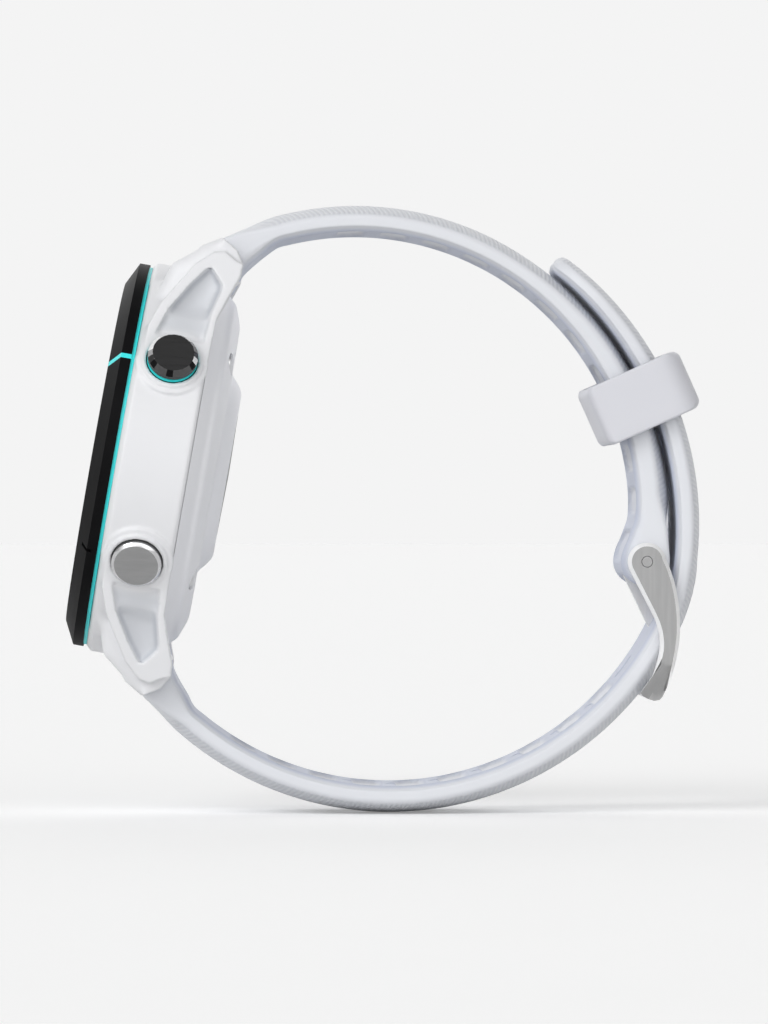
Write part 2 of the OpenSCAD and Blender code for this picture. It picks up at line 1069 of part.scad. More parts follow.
release_pin(-1);  // lower_release
bar_spring(-1);  // lower_bar_spring
keeper();
buckle_frame();
buckle_pin();
buckle_tongue();
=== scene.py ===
import math

import bmesh
import bpy
import numpy as np
from mathutils import Matrix, Vector


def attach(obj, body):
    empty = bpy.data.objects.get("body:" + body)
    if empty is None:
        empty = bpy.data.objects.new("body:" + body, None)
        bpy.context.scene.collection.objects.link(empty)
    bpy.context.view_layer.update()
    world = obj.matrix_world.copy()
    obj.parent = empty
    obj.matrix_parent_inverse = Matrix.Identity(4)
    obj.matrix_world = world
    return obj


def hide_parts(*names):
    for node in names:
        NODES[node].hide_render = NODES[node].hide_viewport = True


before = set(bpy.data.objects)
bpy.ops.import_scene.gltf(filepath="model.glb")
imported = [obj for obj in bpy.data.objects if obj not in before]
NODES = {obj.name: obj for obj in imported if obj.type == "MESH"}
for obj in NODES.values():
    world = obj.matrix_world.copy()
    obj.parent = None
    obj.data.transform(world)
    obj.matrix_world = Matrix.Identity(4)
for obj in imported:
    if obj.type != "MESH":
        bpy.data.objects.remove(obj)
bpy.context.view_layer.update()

MM = 0.001

# ---- Named sizes, in millimetres, in the same frame as the CAD ----

# The case's axis; the depth of the buttons' axes, and their angles round the case.
CASE_X, CASE_Z, CASE_TILT = -30.97, 38.77, math.radians(10)
BUTTON_D = 6.6
BUTTONS = {"start": 30, "back": -30, "light": 150, "up": 180, "down": 210}
CAP_R, STEM_R, GROOVE_R = 2.65, 1.12, 0.8
SCREW_Y, SHELL_VOXEL = 11.45, 0.15
# The band: its spring bars, its section, and the arcs (centre, radius) of its inner side.
BAR_D, BAR_H = 9.9, 21.6
BAND_ROOT_HALF, BAND_TIP_HALF = 9.0, 8.0
BAND_EDGE, BAND_T = 1.68, 2.9
UPPER_C, UPPER_R = (-3.0, 32.33), 29.93
LOWER_C, LOWER_R = (0.72, 34.6), 31.56
BLEND_C, BLEND_R = (13.56, 28.5), 17.5
TAIL_C, TAIL_OUT_R = (-1.74, 31.04), 35.78
TAIL_IN_C, TAIL_IN_R = (-4.0, 30.7), 35.2
TAIL_TIP = 54.4
# The buckle: its pin and the arc of its arms.
PIN_C = (27.9, 27.0)
ARM_C, ARM_OUT_R, ARM_IN_R = (14.33, 20.3), 17.1, 15.2
ARM_IN_Y, ARM_T = 8.45, 1.5
# The keeper: its depth, half its length along the band, its hole, and where it stands.
KEEPER_DEEP, KEEPER_HALF, KEEPER_IN = 10.85, 3.3, (-4.37, 4.16)
KEEPER_C, KEEPER_LEAN = (27.43, 44.43), math.radians(24)


# ---- Meshes ----

def polar(c, r, a):
    """The point at a radius and an angle in degrees about a centre."""
    a = math.radians(a)
    return (c[0] + r * math.cos(a), c[1] + r * math.sin(a))


def smooth_step(x):
    x = np.clip(x, 0, 1)
    return x * x * (3 - 2 * x)


def case_to_row(points):
    """Depth, y, height in the case frame to the row frame."""
    p = np.asarray(points, float).reshape(-1, 3)
    c, s = math.cos(CASE_TILT), math.sin(CASE_TILT)
    return np.column_stack([
        CASE_X + p[:, 0] * c + p[:, 2] * s, p[:, 1], CASE_Z - p[:, 0] * s + p[:, 2] * c
    ])


def row_of(d, h):
    """Depth and height in the case frame to the row's X and Z."""
    q = case_to_row([(d, 0, h)])[0]
    return (q[0], q[2])


def linked(name, data):
    """A new object in the scene."""
    ob = bpy.data.objects.new(name, data)
    bpy.context.scene.collection.objects.link(ob)
    return ob


def mesh_object(name, points, faces):
    """A new mesh object from points in millimetres."""
    me = bpy.data.meshes.new(name)
    me.from_pydata([tuple(float(x) * MM for x in p) for p in points], [], faces)
    me.validate()
    me.update()
    bm = bmesh.new()
    bm.from_mesh(me)
    bmesh.ops.recalc_face_normals(bm, faces=bm.faces)
    bm.to_mesh(me)
    bm.free()
    me.shade_smooth()
    return linked(name, me)


def coordinates(mesh):
    """The points of a mesh in millimetres, one in each row."""
    co = np.empty(len(mesh.vertices) * 3)
    mesh.vertices.foreach_get("co", co)
    return co.reshape(-1, 3) / MM


def store(mesh, name, values):
    """Keeps a number for each point, for a material to read."""
    layer = mesh.attributes.new(name, "FLOAT", "POINT")
    layer.data.foreach_set("value", values.astype(np.float32))


def settle(ob):
    """Applies every modifier of an object."""
    dg = bpy.context.evaluated_depsgraph_get()
    dg.update()
    me = bpy.data.meshes.new_from_object(ob.evaluated_get(dg))
    ob.modifiers.clear()
    old = ob.data
    ob.data = me
    bpy.data.meshes.remove(old)


def drop(ob):
    """Deletes an object and its mesh."""
    me = ob.data
    bpy.data.objects.remove(ob)
    bpy.data.meshes.remove(me)


def boolean(ob, tool, operation="DIFFERENCE"):
    """Cuts or joins an object with a tool, which is used up."""
    mod = ob.modifiers.new("cut", "BOOLEAN")
    mod.object = tool
    mod.operation = operation
    mod.solver = "MANIFOLD"
    settle(ob)
    drop(tool)
    return ob


def sharp_by_angle(ob, degrees):
    """Smooth shading, apart from edges that turn by more than an angle."""
    ob.data.shade_smooth()
    ob.data.set_sharp_from_angle(angle=math.radians(degrees))


def joined(name, parts):
    """One object from several, without a boolean."""
    bm = bmesh.new()
    for p in parts:
        bm.from_mesh(p.data)
    me = bpy.data.meshes.new(name)
    bm.to_mesh(me)
    bm.free()
    for p in parts:
        drop(p)
    me.shade_smooth()
    return linked(name, me)


def grid_faces(rows, cols, wrap_rows=False):
    """Quads between closed rows of points; the last row may meet the first."""
    faces = []
    for i in range(rows if wrap_rows else rows - 1):
        for j in range(cols):
            a, b = i, (i + 1) % rows
            c, d = j, (j + 1) % cols
            faces.append((a * cols + c, a * cols + d, b * cols + d, b * cols + c))
    return faces


MOST_CUT = 0.48  # of a side's length, for the rounding at one of its ends


def prism_faces(n, layers=2):
    """Walls between closed layers of n points, and a face over each end."""
    last = (layers - 1) * n
    return grid_faces(layers, n) + [tuple(range(n)), tuple(range(last, last + n))]


def rounded(corners, steps):
    """An open outline with its corners rounded; each corner is (x, y, radius)."""
    out = []
    for i, (x, y, r) in enumerate(corners):
        p = Vector((x, y))
        if r <= 0 or i in (0, len(corners) - 1):
            out.append((x, y))
            continue
        a, b = Vector(corners[i - 1][:2]) - p, Vector(corners[i + 1][:2]) - p
        cut = min(r, a.length * MOST_CUT, b.length * MOST_CUT)
        s, e = p + a.normalized() * cut, p + b.normalized() * cut
        for k in range(steps + 1):
            t = k / steps
            q = s * (1 - t) ** 2 + p * 2 * t * (1 - t) + e * t * t
            out.append((q.x, q.y))
    return out


def lathe(name, outline, place, sides, ripple=None):
    """Turns an outline of (radius, height) about z; ends on the axis are closed.

    ripple(radius, height, angle) gives a radius that changes round the axis.
    """
    pts, rings, faces = [], [], []
    for r, z in outline:
        if r < 1e-6:
            rings.append([len(pts)])
            pts.append((0, 0, z))
            continue
        ring = []
        for k in range(sides):
            a = 2 * math.pi * k / sides
            q = r if ripple is None else ripple(r, z, a)
            ring.append(len(pts))
            pts.append((q * math.cos(a), q * math.sin(a), z))
        rings.append(ring)
    closed = len(rings[0]) > 1 and len(rings[-1]) > 1
    for i in range(len(rings) if closed else len(rings) - 1):
        a, b = rings[i], rings[(i + 1) % len(rings)]
        for k in range(sides):
            n = (k + 1) % sides
            if len(a) == 1:
                faces.append((a[0], b[k], b[n]))
            elif len(b) == 1:
                faces.append((a[k], b[0], a[n]))
            else:
                faces.append((a[k], a[n], b[n], b[k]))
    return mesh_object(name, place(np.array(pts)), faces)


def on_case_axis(p):
    """z of the outline is the case depth."""
    return case_to_row(np.column_stack([p[:, 2], p[:, 0], p[:, 1]]))


def on_button(angle):
    """z of the outline is the distance from the case axis."""
    a = math.radians(angle)

    def place(p):
        out, up = np.array([-math.cos(a), math.sin(a)]), np.array([math.sin(a), math.cos(a)])
        y = p[:, 2] * out[0] + p[:, 1] * up[0]
        h = p[:, 2] * out[1] + p[:, 1] * up[1]
        return case_to_row(np.column_stack([BUTTON_D + p[:, 0], y, h]))
    return place


def spline(points, n):
    """Centripetal-like smooth curve through points, n samples."""
    p = np.asarray(points, float)
    seg = np.sqrt(np.linalg.norm(np.diff(p[:, :2], axis=0), axis=1)) + 1e-9
    t = np.concatenate([[0], np.cumsum(seg)])
    m = np.gradient(p, t, axis=0)
    u = np.linspace(0, t[-1], n)
    i = np.clip(np.searchsorted(t, u, side="right") - 1, 0, len(t) - 2)
    h = t[i + 1] - t[i]
    s = ((u - t[i]) / h)[:, None]
    h = h[:, None]
    return (
        (2 * s**3 - 3 * s**2 + 1) * p[i] + (s**3 - 2 * s**2 + s) * h * m[i]
        + (-2 * s**3 + 3 * s**2) * p[i + 1] + (s**3 - s**2) * h * m[i + 1]
    )


def even(rows, step):
    """Resamples rows to even spacing by the mean of their first two points."""
    mid = (rows[:, 0:2] + rows[:, 2:4]) / 2
    d = np.concatenate([[0], np.cumsum(np.linalg.norm(np.diff(mid, axis=0), axis=1))])
    n = max(2, int(round(d[-1] / step)))
    u = np.linspace(0, d[-1], n)
    return np.column_stack([np.interp(u, d, rows[:, k]) for k in range(rows.shape[1])]), u


# ---- Materials: noise scales are in 1/m, bump distances in m ----

MIX_FACTOR, MIX_A, MIX_B, MIX_RESULT = 0, 6, 7, 2


def math_node(tree, operation, a, b=None):
    """A math node's output; an operand is a number or another output."""
    node = tree.nodes.new("ShaderNodeMath")
    node.operation = operation
    for socket, x in zip(node.inputs, (a, b)):
        if isinstance(x, (int, float)):
            socket.default_value = x
        elif x is not None:
            tree.links.new(x, socket)
    return node.outputs[0]


class Shader:
    """A node material with a Principled surface."""

    def __init__(self, name, **values):
        self.material = bpy.data.materials.new(name)
        self.material.use_nodes = True
        self.tree = self.material.node_tree
        self.surface = self.tree.nodes["Principled BSDF"]
        self.set(self.surface, values)

    @staticmethod
    def set(node, values):
        for key, value in values.items():
            key = key.replace("_", " ")
            socket = next(s for s in node.inputs if s.name.lower() == key.lower())
            if socket.type == "RGBA" and len(value) == 3:
                value = (*value, 1)
            socket.default_value = value

    def add(self, kind, attrs=None, **values):
        node = self.tree.nodes.new(kind)
        for key, value in (attrs or {}).items():
            setattr(node, key, value)
        self.set(node, values)
        return node

    def link(self, out, into):
        self.tree.links.new(out, into)

    def into(self, out, socket):
        self.tree.links.new(out, self.surface.inputs[socket])

    def place(self):
        return self.add("ShaderNodeTexCoord").outputs["Object"]

    def noise(self, scale, detail=3.0, rough=0.5, vector=None):
        node = self.add("ShaderNodeTexNoise", Scale=scale, Detail=detail, Roughness=rough)
        self.link(vector or self.place(), node.inputs["Vector"])
        return node.outputs["Fac"]

    def ramp(self, fac, low, high, span=(0.3, 0.7)):
        """Goes from one colour to another while a value crosses a span."""
        node = self.add("ShaderNodeValToRGB")
        for stop, at, colour in zip(node.color_ramp.elements, span, (low, high)):
            stop.position = at
            stop.color = (*colour, 1)
        self.link(fac, node.inputs["Fac"])
        return node.outputs["Color"]

    def math(self, operation, a, b=None):
        return math_node(self.tree, operation, a, b)

    def between(self, fac, low, high):
        """Maps 0 to 1 onto low to high."""
        node = self.add("ShaderNodeMapRange")
        self.link(fac, node.inputs["Value"])
        self.set(node, {"To Min": low, "To Max": high})
        return node.outputs["Result"]

    def mix(self, fac, a, b, blend="MIX"):
        """Mixes colours; an input is a number, a colour or another output."""
        node = self.add("ShaderNodeMix", {"data_type": "RGBA", "blend_type": blend})
        for i, x in ((MIX_FACTOR, fac), (MIX_A, a), (MIX_B, b)):
            if isinstance(x, tuple):
                node.inputs[i].default_value = (*x, 1)
            elif isinstance(x, (int, float)):
                node.inputs[i].default_value = x
            else:
                self.link(x, node.inputs[i])
        return node.outputs[MIX_RESULT]

    def attribute(self, name):
        return self.add("ShaderNodeAttribute", {"attribute_name": name}).outputs["Fac"]

    def bump(self, height, strength, distance, normal=None):
        node = self.add("ShaderNodeBump", Strength=strength, Distance=distance)
        self.link(height, node.inputs["Height"])
        if normal is not None:
            self.link(normal, node.inputs["Normal"])
        return node.outputs["Normal"]


def polymer(name, tint, dark, rough=0.42, grain=0.00002, painted_shade=None):
    """Moulded fibre-filled plastic with a fine satin grain; painted shade darkens its recesses.
    """
    s = Shader(name, Roughness=rough, IOR=1.5)
    broad = s.noise(90, 2)
    fine = s.noise(5200, 4, 0.6)
    colour = s.ramp(broad, dark, tint)
    if painted_shade:
        # Painted shade: points marked as recessed take a darker colour.
        colour = s.mix(s.attribute("recess"), colour, painted_shade)
    s.into(colour, "Base Color")
    s.into(s.between(fine, rough - 0.06, rough + 0.08), "Roughness")
    s.into(s.bump(fine, 0.35, grain), "Normal")
    return s.material


HATCH_PITCH, HATCH_SLANT = 0.52, 0.15  # mm along the band, and mm along per mm across
HATCH_DEPTH, HATCH_EDGE = 0.00006, 0.1
HATCH_PAINTED_SHADE, INSIDE_PAINTED_SHADE = (0.91, 0.915, 0.93), (0.74, 0.77, 0.86)


def rubber(name, tint, dark, hatched=False):
    """Matte silicone; the outside of the band has a fine slanted hatch whose lines are darkened
    by painted shade, and its inside is darkened by painted shade.
    """
    s = Shader(name, Roughness=0.55, IOR=1.42, Sheen_Weight=0.12, Sheen_Roughness=0.4)
    broad = s.noise(60, 2)
    fine = s.noise(6500, 3, 0.6)
    colour = s.ramp(broad, dark, tint)
    normal = s.bump(fine, 0.3, 0.00001)
    if hatched:
        slant = s.math("MULTIPLY", s.attribute("across"), HATCH_SLANT)
        skew = s.math("ADD", s.attribute("along"), slant)
        wave = s.math("SINE", s.math("MULTIPLY", skew, 2 * math.pi / HATCH_PITCH))
        outside = s.attribute("outside")
        ribs = s.math("MULTIPLY", s.math("MULTIPLY", wave, 0.5), outside)
        normal = s.bump(ribs, 0.8, HATCH_DEPTH, normal)
        # Painted shade: the hatch's lines are darker in colour as well as raised.
        rib_shade = s.math("MULTIPLY", s.math("GREATER_THAN", wave, HATCH_EDGE), outside)
        colour = s.mix(1.0, colour, s.mix(rib_shade, (1, 1, 1), HATCH_PAINTED_SHADE), "MULTIPLY")
        # Painted shade: the inside of the band is darker in colour.
        inner = s.mix(s.attribute("inside"), (1, 1, 1), INSIDE_PAINTED_SHADE)
        colour = s.mix(1.0, colour, inner, "MULTIPLY")
    s.into(colour, "Base Color")
    s.into(s.between(fine, 0.5, 0.68), "Roughness")
    s.into(normal, "Normal")
    return s.material


ALONG_Z, ALONG_X = (1, 1, 0.06), (0.05, 1, 1)  # the ways that metal is brushed
LEAST_ROUGH = 0.03


def metal(name, tint, dark, rough, brush=(1, 1, 1), depth=0.000004):
    """Metal with fine brush lines; brush stretches the noise along each axis."""
    s = Shader(name, Metallic=1.0, Roughness=rough)
    scale = s.add("ShaderNodeMapping", Scale=brush)
    s.link(s.place(), scale.inputs["Vector"])
    lines = s.noise(2400, 5, 0.65, scale.outputs["Vector"])
    s.into(s.ramp(lines, dark, tint), "Base Color")
    s.into(s.between(lines, max(LEAST_ROUGH, rough - 0.07), rough + 0.1), "Roughness")
    s.into(s.bump(lines, 0.4, depth), "Normal")
    return s.material


def rim_metal(name, tint, dark):
    """Satin bead-blasted metal, which scatters most of its light."""
    s = Shader(name, Metallic=0.15, Roughness=0.35, IOR=1.8)
    cloud = s.noise(500, 3)
    fine = s.noise(6000, 3, 0.6)
    s.into(s.ramp(cloud, dark, tint), "Base Color")
    s.into(s.between(fine, 0.3, 0.42), "Roughness")
    s.into(s.bump(fine, 0.25, 0.000004), "Normal")
    return s.material


def glossy(name, tint, dark, rough, grain=0.000006, sheen=0.5):
    """Dense dark plastic or glass-like skin with faint mottling."""
    s = Shader(name, Roughness=rough, IOR=1.5, Specular_IOR_Level=sheen)
    cloud = s.noise(350, 4, 0.55)
    fine = s.noise(7000, 3, 0.6)
    s.into(s.ramp(cloud, dark, tint), "Base Color")
    s.into(s.between(fine, rough - 0.04, rough + 0.08), "Roughness")
    s.into(s.bump(fine, 0.25, grain), "Normal")
    return s.material


def clear_lens():
    """Clear glass with a faint haze."""
    s = Shader(
        "lens_glass_mat", Roughness=0.03, IOR=1.2, Transmission_Weight=0.96,
        Specular_IOR_Level=0.4,
    )
    haze = s.noise(160, 3)
    s.into(s.ramp(haze, (0.90, 0.915, 0.925), (0.93, 0.945, 0.955)), "Base Color")
    s.into(s.between(haze, 0.02, 0.05), "Roughness")
    return s.material


CELL_WAVE = 26000  # radians per metre


def screen():
    """Switched-off reflective display with its fine cell grid."""
    s = Shader("display_mat", Roughness=0.3, IOR=1.5, Specular_IOR_Level=0.1)
    sep = s.add("ShaderNodeSeparateXYZ")
    s.link(s.place(), sep.inputs[0])
    rows = s.math("SINE", s.math("MULTIPLY", sep.outputs["Z"], CELL_WAVE))
    cols = s.math("SINE", s.math("MULTIPLY", sep.outputs["Y"], CELL_WAVE))
    cells = s.math("MULTIPLY", s.math("ADD", rows, cols), 0.25)
    cloud = s.noise(120, 3)
    value = s.math("ADD", s.math("MULTIPLY", cells, 0.5), s.math("MULTIPLY", cloud, 0.25))
    glow = s.ramp(value, (0.007, 0.008, 0.0078), (0.02, 0.024, 0.0225), (0.0, 1.0))
    s.into(glow, "Base Color")
    s.into(s.between(cells, 0.22, 0.36), "Roughness")
    return s.material


def circuit():
    """Solder mask with faint traces."""
    s = Shader("board_mat", Roughness=0.35, IOR=1.5)
    cells = s.add("ShaderNodeTexVoronoi", {"feature": "DISTANCE_TO_EDGE"}, Scale=900.0)
    s.link(s.place(), cells.inputs["Vector"])
    trace = s.math("LESS_THAN", cells.outputs["Distance"], 0.06)
    cloud = s.noise(700, 3)
    base = s.ramp(cloud, (0.01, 0.075, 0.03), (0.02, 0.12, 0.05))
    s.into(s.mix(trace, base, (0.05, 0.22, 0.1)), "Base Color")
    s.into(s.between(cloud, 0.28, 0.45), "Roughness")
    s.into(s.bump(trace, 0.3, 0.00002), "Normal")
    return s.material


# The case's plastic; its pockets take a darker colour as painted shade.
WHITE = polymer(
    "case_polymer", (0.80, 0.805, 0.825), (0.78, 0.785, 0.805), painted_shade=(0.46, 0.485, 0.53)
)
# The back cover's own white plastic, made lighter than the case's as painted light on its
# flanks, which face away from the light.
COVER_PAINTED_LIGHT = polymer("cover_polymer_painted_light", (0.90, 0.905, 0.93), (0.87, 0.875, 0.905), 0.45)
BAND = rubber("band_silicone", (0.75, 0.765, 0.80), (0.725, 0.74, 0.78), True)
LOOP = rubber("loop_silicone", (0.685, 0.69, 0.73), (0.66, 0.665, 0.71))
BEZEL = glossy("bezel_black", (0.007, 0.007, 0.0075), (0.0045, 0.0045, 0.005), 0.5, sheen=0.05)
AQUA = glossy("trim_aqua_mat", (0.045, 0.86, 0.86), (0.035, 0.80, 0.81), 0.4)
DARK = glossy("dark_plastic", (0.02, 0.021, 0.023), (0.012, 0.012, 0.014), 0.3)
SEAL = glossy("seal_rubber", (0.03, 0.03, 0.031), (0.018, 0.018, 0.019), 0.55, 0.00001)
GREY = glossy("frame_plastic", (0.16, 0.16, 0.17), (0.11, 0.11, 0.12), 0.45, 0.00001)
STEEL = metal("brushed_steel", (0.86, 0.86, 0.865), (0.78, 0.78, 0.785), 0.3, ALONG_Z)
FACE_STEEL = metal("arm_steel", (0.46, 0.46, 0.46), (0.41, 0.41, 0.412), 0.34, ALONG_Z)
POLISH = metal("polished_steel", (0.80, 0.80, 0.81), (0.74, 0.74, 0.75), 0.1)
RIM_STEEL = rim_metal("rim_steel", (0.96, 0.96, 0.96), (0.91, 0.91, 0.912))
CAP = metal("cap_steel", (0.46, 0.46, 0.462), (0.40, 0.40, 0.402), 0.3, ALONG_X)
GUN = metal("cap_gunmetal", (0.075, 0.075, 0.076), (0.065, 0.065, 0.066), 0.28, ALONG_X)
SMOKE = metal("smoked_chrome", (0.14, 0.14, 0.141), (0.115, 0.115, 0.116), 0.05)
# Painted reflection: a black chrome for some facets of the START button's bevel.
DARK_REFLECTION = metal("painted_dark_reflection", (0.02, 0.02, 0.0205), (0.012, 0.012, 0.0125), 0.05)
SPRING = metal("spring_wire", (0.55, 0.55, 0.56), (0.42, 0.42, 0.43), 0.28)
COPPER = metal("antenna_metal", (0.72, 0.42, 0.24), (0.6, 0.33, 0.18), 0.3)
BRASS = metal("buzzer_metal", (0.75, 0.6, 0.28), (0.62, 0.48, 0.2), 0.28)
FOIL = metal("battery_foil_mat", (0.6, 0.62, 0.64), (0.45, 0.47, 0.5), 0.35, depth=0.00004)
GOLD = metal("contact_gold_mat", (0.9, 0.68, 0.32), (0.8, 0.58, 0.25), 0.18)
BOARD = circuit()
DISPLAY = screen()
LENS = clear_lens()

FINISH = {
    "front_housing": WHITE, "bezel": BEZEL, "trim_ring": AQUA, "lens": LENS,
    "lens_adhesive": DARK, "display_panel": DISPLAY, "inner_frame": GREY,
    "antenna_ring": COPPER, "main_board": BOARD, "button_switches": STEEL,
    "battery": FOIL, "vibration_motor": STEEL, "buzzer": BRASS,
    "sensor_board": BOARD, "sensor_window": DARK, "back_gasket": SEAL,
    "back_cover": COVER_PAINTED_LIGHT, "back_screws": STEEL, "contact_carrier": DARK,
    "charging_contacts": GOLD, "start_button": GUN, "start_ring": AQUA,
    "upper_strap": BAND, "lower_strap": BAND, "keeper": LOOP,
    "buckle_frame": STEEL, "buckle_pin": FACE_STEEL, "buckle_tongue": STEEL,
    "upper_bar": STEEL, "lower_bar": STEEL, "upper_release": STEEL,
    "lower_release": STEEL, "upper_bar_spring": SPRING, "lower_bar_spring": SPRING,
}
for button in BUTTONS:
    FINISH.setdefault(f"{button}_button", CAP)
    FINISH[f"{button}_oring"] = SEAL
    FINISH[f"{button}_clip"] = STEEL
    FINISH[f"{button}_spring"] = SPRING


def paint(ob, *materials):
    """Gives an object these materials and no others."""
    ob.data.materials.clear()
    for material in materials:
        ob.data.materials.append(material)


for node, ob in NODES.items():
    if not ob.material_slots:
        ob.data.materials.append(FINISH[node])
    for s in ob.material_slots:
        s.link = "OBJECT"
        s.material = FINISH[node]


# ---- Case ----

VOXEL_ROUNDS, SMOOTHING, WELD_GAP = 4, 0.5, 1e-7


def upright(ob, back=False):
    """Turns a mesh from the row frame to the case frame, or back."""
    turn = Matrix.Rotation(CASE_TILT if back else -CASE_TILT, 4, "Y")
    ob.data.transform(turn)


def smoothing(ob, name, rounds, group=""):
    """A modifier that relaxes an object, or a vertex group of it."""
    mod = ob.modifiers.new(name, "SMOOTH")
    mod.factor = SMOOTHING
    mod.iterations = rounds
    mod.vertex_group = group


def sculpted(name, node, extra):
    """A soft-edged copy of a CAD node and more meshes: remeshed, then relaxed."""
    ob = linked(name, NODES[node].data.copy())
    bm = bmesh.new()
    bm.from_mesh(ob.data)
    for t in extra:
        bm.from_mesh(t.data)
    bm.to_mesh(ob.data)
    bm.free()
    for t in extra:
        drop(t)
    upright(ob)
    weld = ob.modifiers.new("weld", "WELD")
    weld.merge_threshold = WELD_GAP
    re = ob.modifiers.new("remesh", "REMESH")
    re.mode = "VOXEL"
    re.voxel_size = SHELL_VOXEL * MM
    smoothing(ob, "relax", VOXEL_ROUNDS)
    settle(ob)
    upright(ob, True)
    ob.data.shade_smooth()
    return ob


def button_collar(angle, top):
    """The low wide step around a button's ring."""
    outline = [(2.95, 19.6), (3.78, 19.6), (3.86, top - 0.12), (3.74, top), (2.95, top)]
    return lathe("collar", outline, on_button(angle), 96)


# Side outlines of an upper lug as (depth, height): its pocket, and its front edge.
POCKET = [
    (4.25, 13.0), (5.2, 16.3), (7.0, 19.3), (8.45, 21.2), (9.1, 21.35),
    (10.5, 19.6), (10.5, 18.9), (9.9, 16.5), (9.6, 13.0),
]
RIM = [
    (2.2, 9), (3.2, 9), (3.42, 11), (3.45, 14.1), (4.3, 16.6), (5.6, 18.8), (7.15, 21.3),
    (8.9, 22.95), (10.1, 23.2),
]
# The part of a lug that flows into the housing, and its front edge that is only eased.
RIM_CLEAR, LUG_LOW = 0.12, 10.5
FLOW_DEPTH, FLOW_ACROSS, FLOW_ROUNDS = (3.0, 9.6), 11.6, 400
EASE_DEPTH, EASE_ACROSS, EASE_ROUNDS = (2.4, 4.2), 9, 60
# The pocket: how far across its floor lies at each height, and its sloped walls.
FLOOR_HIGH, FLOOR_ACROSS = [12, 15.6, 16.6, 22], [17, 15.8, 14.3, 12.7]
POCKET_ACROSS, SIDE_DEPTH = (10, 18.5), (3.6, 10.4)
WALL_RISE, WALL_WIDE, WALL_LEDGE, WALL_DROP = 0.2, 0.75, 0.05, 0.25
WALL_LOW, WALL_FADE = 14.6, 1.5
NEAR_FLOOR, WALL_SOFT, DARK_AT = 0.6, 0.1, 0.5
SLICES, SLICE_HALF = np.arange(14.5, 22.5, 0.5), 0.3
FAR = 99.0


def within(x, span):
    """Whether values lie between the ends of a span."""
    return (x > span[0]) & (x < span[1])


def pocket_map(depth, high):
    """Which points the pocket's outline holds, and how far each is from its steep sides."""
    inside, to_rim = np.zeros(len(depth), bool), np.full(len(depth), FAR)
    for (x0, z0), (x1, z1) in zip(POCKET[-1:] + POCKET[:-1], POCKET):
        crosses = (z0 > high) != (z1 > high)
        with np.errstate(divide="ignore", invalid="ignore"):
            inside ^= crosses & (depth < (x1 - x0) * (high - z0) / (z1 - z0) + x0)
        run = np.array([x1 - x0, z1 - z0])
        t = np.clip(((depth - x0) * run[0] + (high - z0) * run[1]) / (run @ run), 0, 1)
        if abs(run[1]) > WALL_RISE:
            away = np.hypot(depth - x0 - t * run[0], high - z0 - t * run[1])
            to_rim = np.minimum(to_rim, away)
    return inside, to_rim


def add_group(ob, name, parts):
    """A vertex group; parts are (mask, weight), and later ones win."""
    group = ob.vertex_groups.new(name=name)
    for mask, weight in parts:
        group.add(np.nonzero(mask)[0].tolist(), weight, "REPLACE")


def shape_lugs(ob):
    """Slopes the walls of the pockets, and lets the lugs flow into the housing."""
    co = coordinates(ob.data)
    turn = np.array(Matrix.Rotation(-CASE_TILT, 3, "Y"))
    co -= np.array(case_to_row([(0, 0, 0)])[0]) @ turn.T
    depth, across, high = co[:, 0], np.abs(co[:, 1]), np.abs(co[:, 2])
    on_lug = (high > np.interp(depth, *np.array(RIM).T) + RIM_CLEAR) & (high > LUG_LOW)

    inside, to_rim = pocket_map(depth, high)
    ground = np.interp(high, FLOOR_HIGH, FLOOR_ACROSS)
    pocket = inside & within(across, POCKET_ACROSS)
    side = within(depth, SIDE_DEPTH) & ~inside
    tops = [across[(abs(high - b) < SLICE_HALF) & side].max() for b in SLICES]
    edge_y = np.interp(high, SLICES, tops) - WALL_DROP
    slope = np.clip(1 - (to_rim - WALL_LEDGE) / WALL_WIDE, 0, 1)
    slope = slope * smooth_step((high - WALL_LOW) / WALL_FADE)
    lifted = np.where(pocket, np.maximum(across, ground + (edge_y - ground) * slope), across)
    for v, y in zip(ob.data.vertices, np.sign(co[:, 1]) * lifted * MM):
        v.co.y = y

    low = pocket & (across < ground + NEAR_FLOOR)
    add_group(ob, "flow", (
        (on_lug & within(depth, FLOW_DEPTH) & (across > FLOW_ACROSS), 1.0),
        (low & (to_rim < WALL_WIDE), WALL_SOFT),
        (low & (to_rim >= WALL_WIDE), 1.0),
    ))
    add_group(ob, "ease", (
        (on_lug & within(depth, EASE_DEPTH) & (across > EASE_ACROSS), 1.0),
    ))
    smoothing(ob, "flow", FLOW_ROUNDS, "flow")
    smoothing(ob, "ease", EASE_ROUNDS, "ease")
    # Painted shade for the case plastic: how dark each point of a pocket is, most on its sloped
    # walls.
    pocket_shade = np.clip((edge_y - lifted) / DARK_AT, 0, 1) * (0.5 + 0.5 * slope) * pocket
    store(ob.data, "recess", pocket_shade)


COLLAR_TOP, UP_COLLAR_TOP = 21.27, 21.0
collars = [
    button_collar(a, UP_COLLAR_TOP if b == "up" else COLLAR_TOP) for b, a in BUTTONS.items()
]
shell = sculpted("case_shell", "front_housing", collars)
paint(shell, WHITE)
upright(shell)
shape_lugs(shell)
upright(shell, True)
settle(shell)
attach(shell, "case")
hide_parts("front_housing")

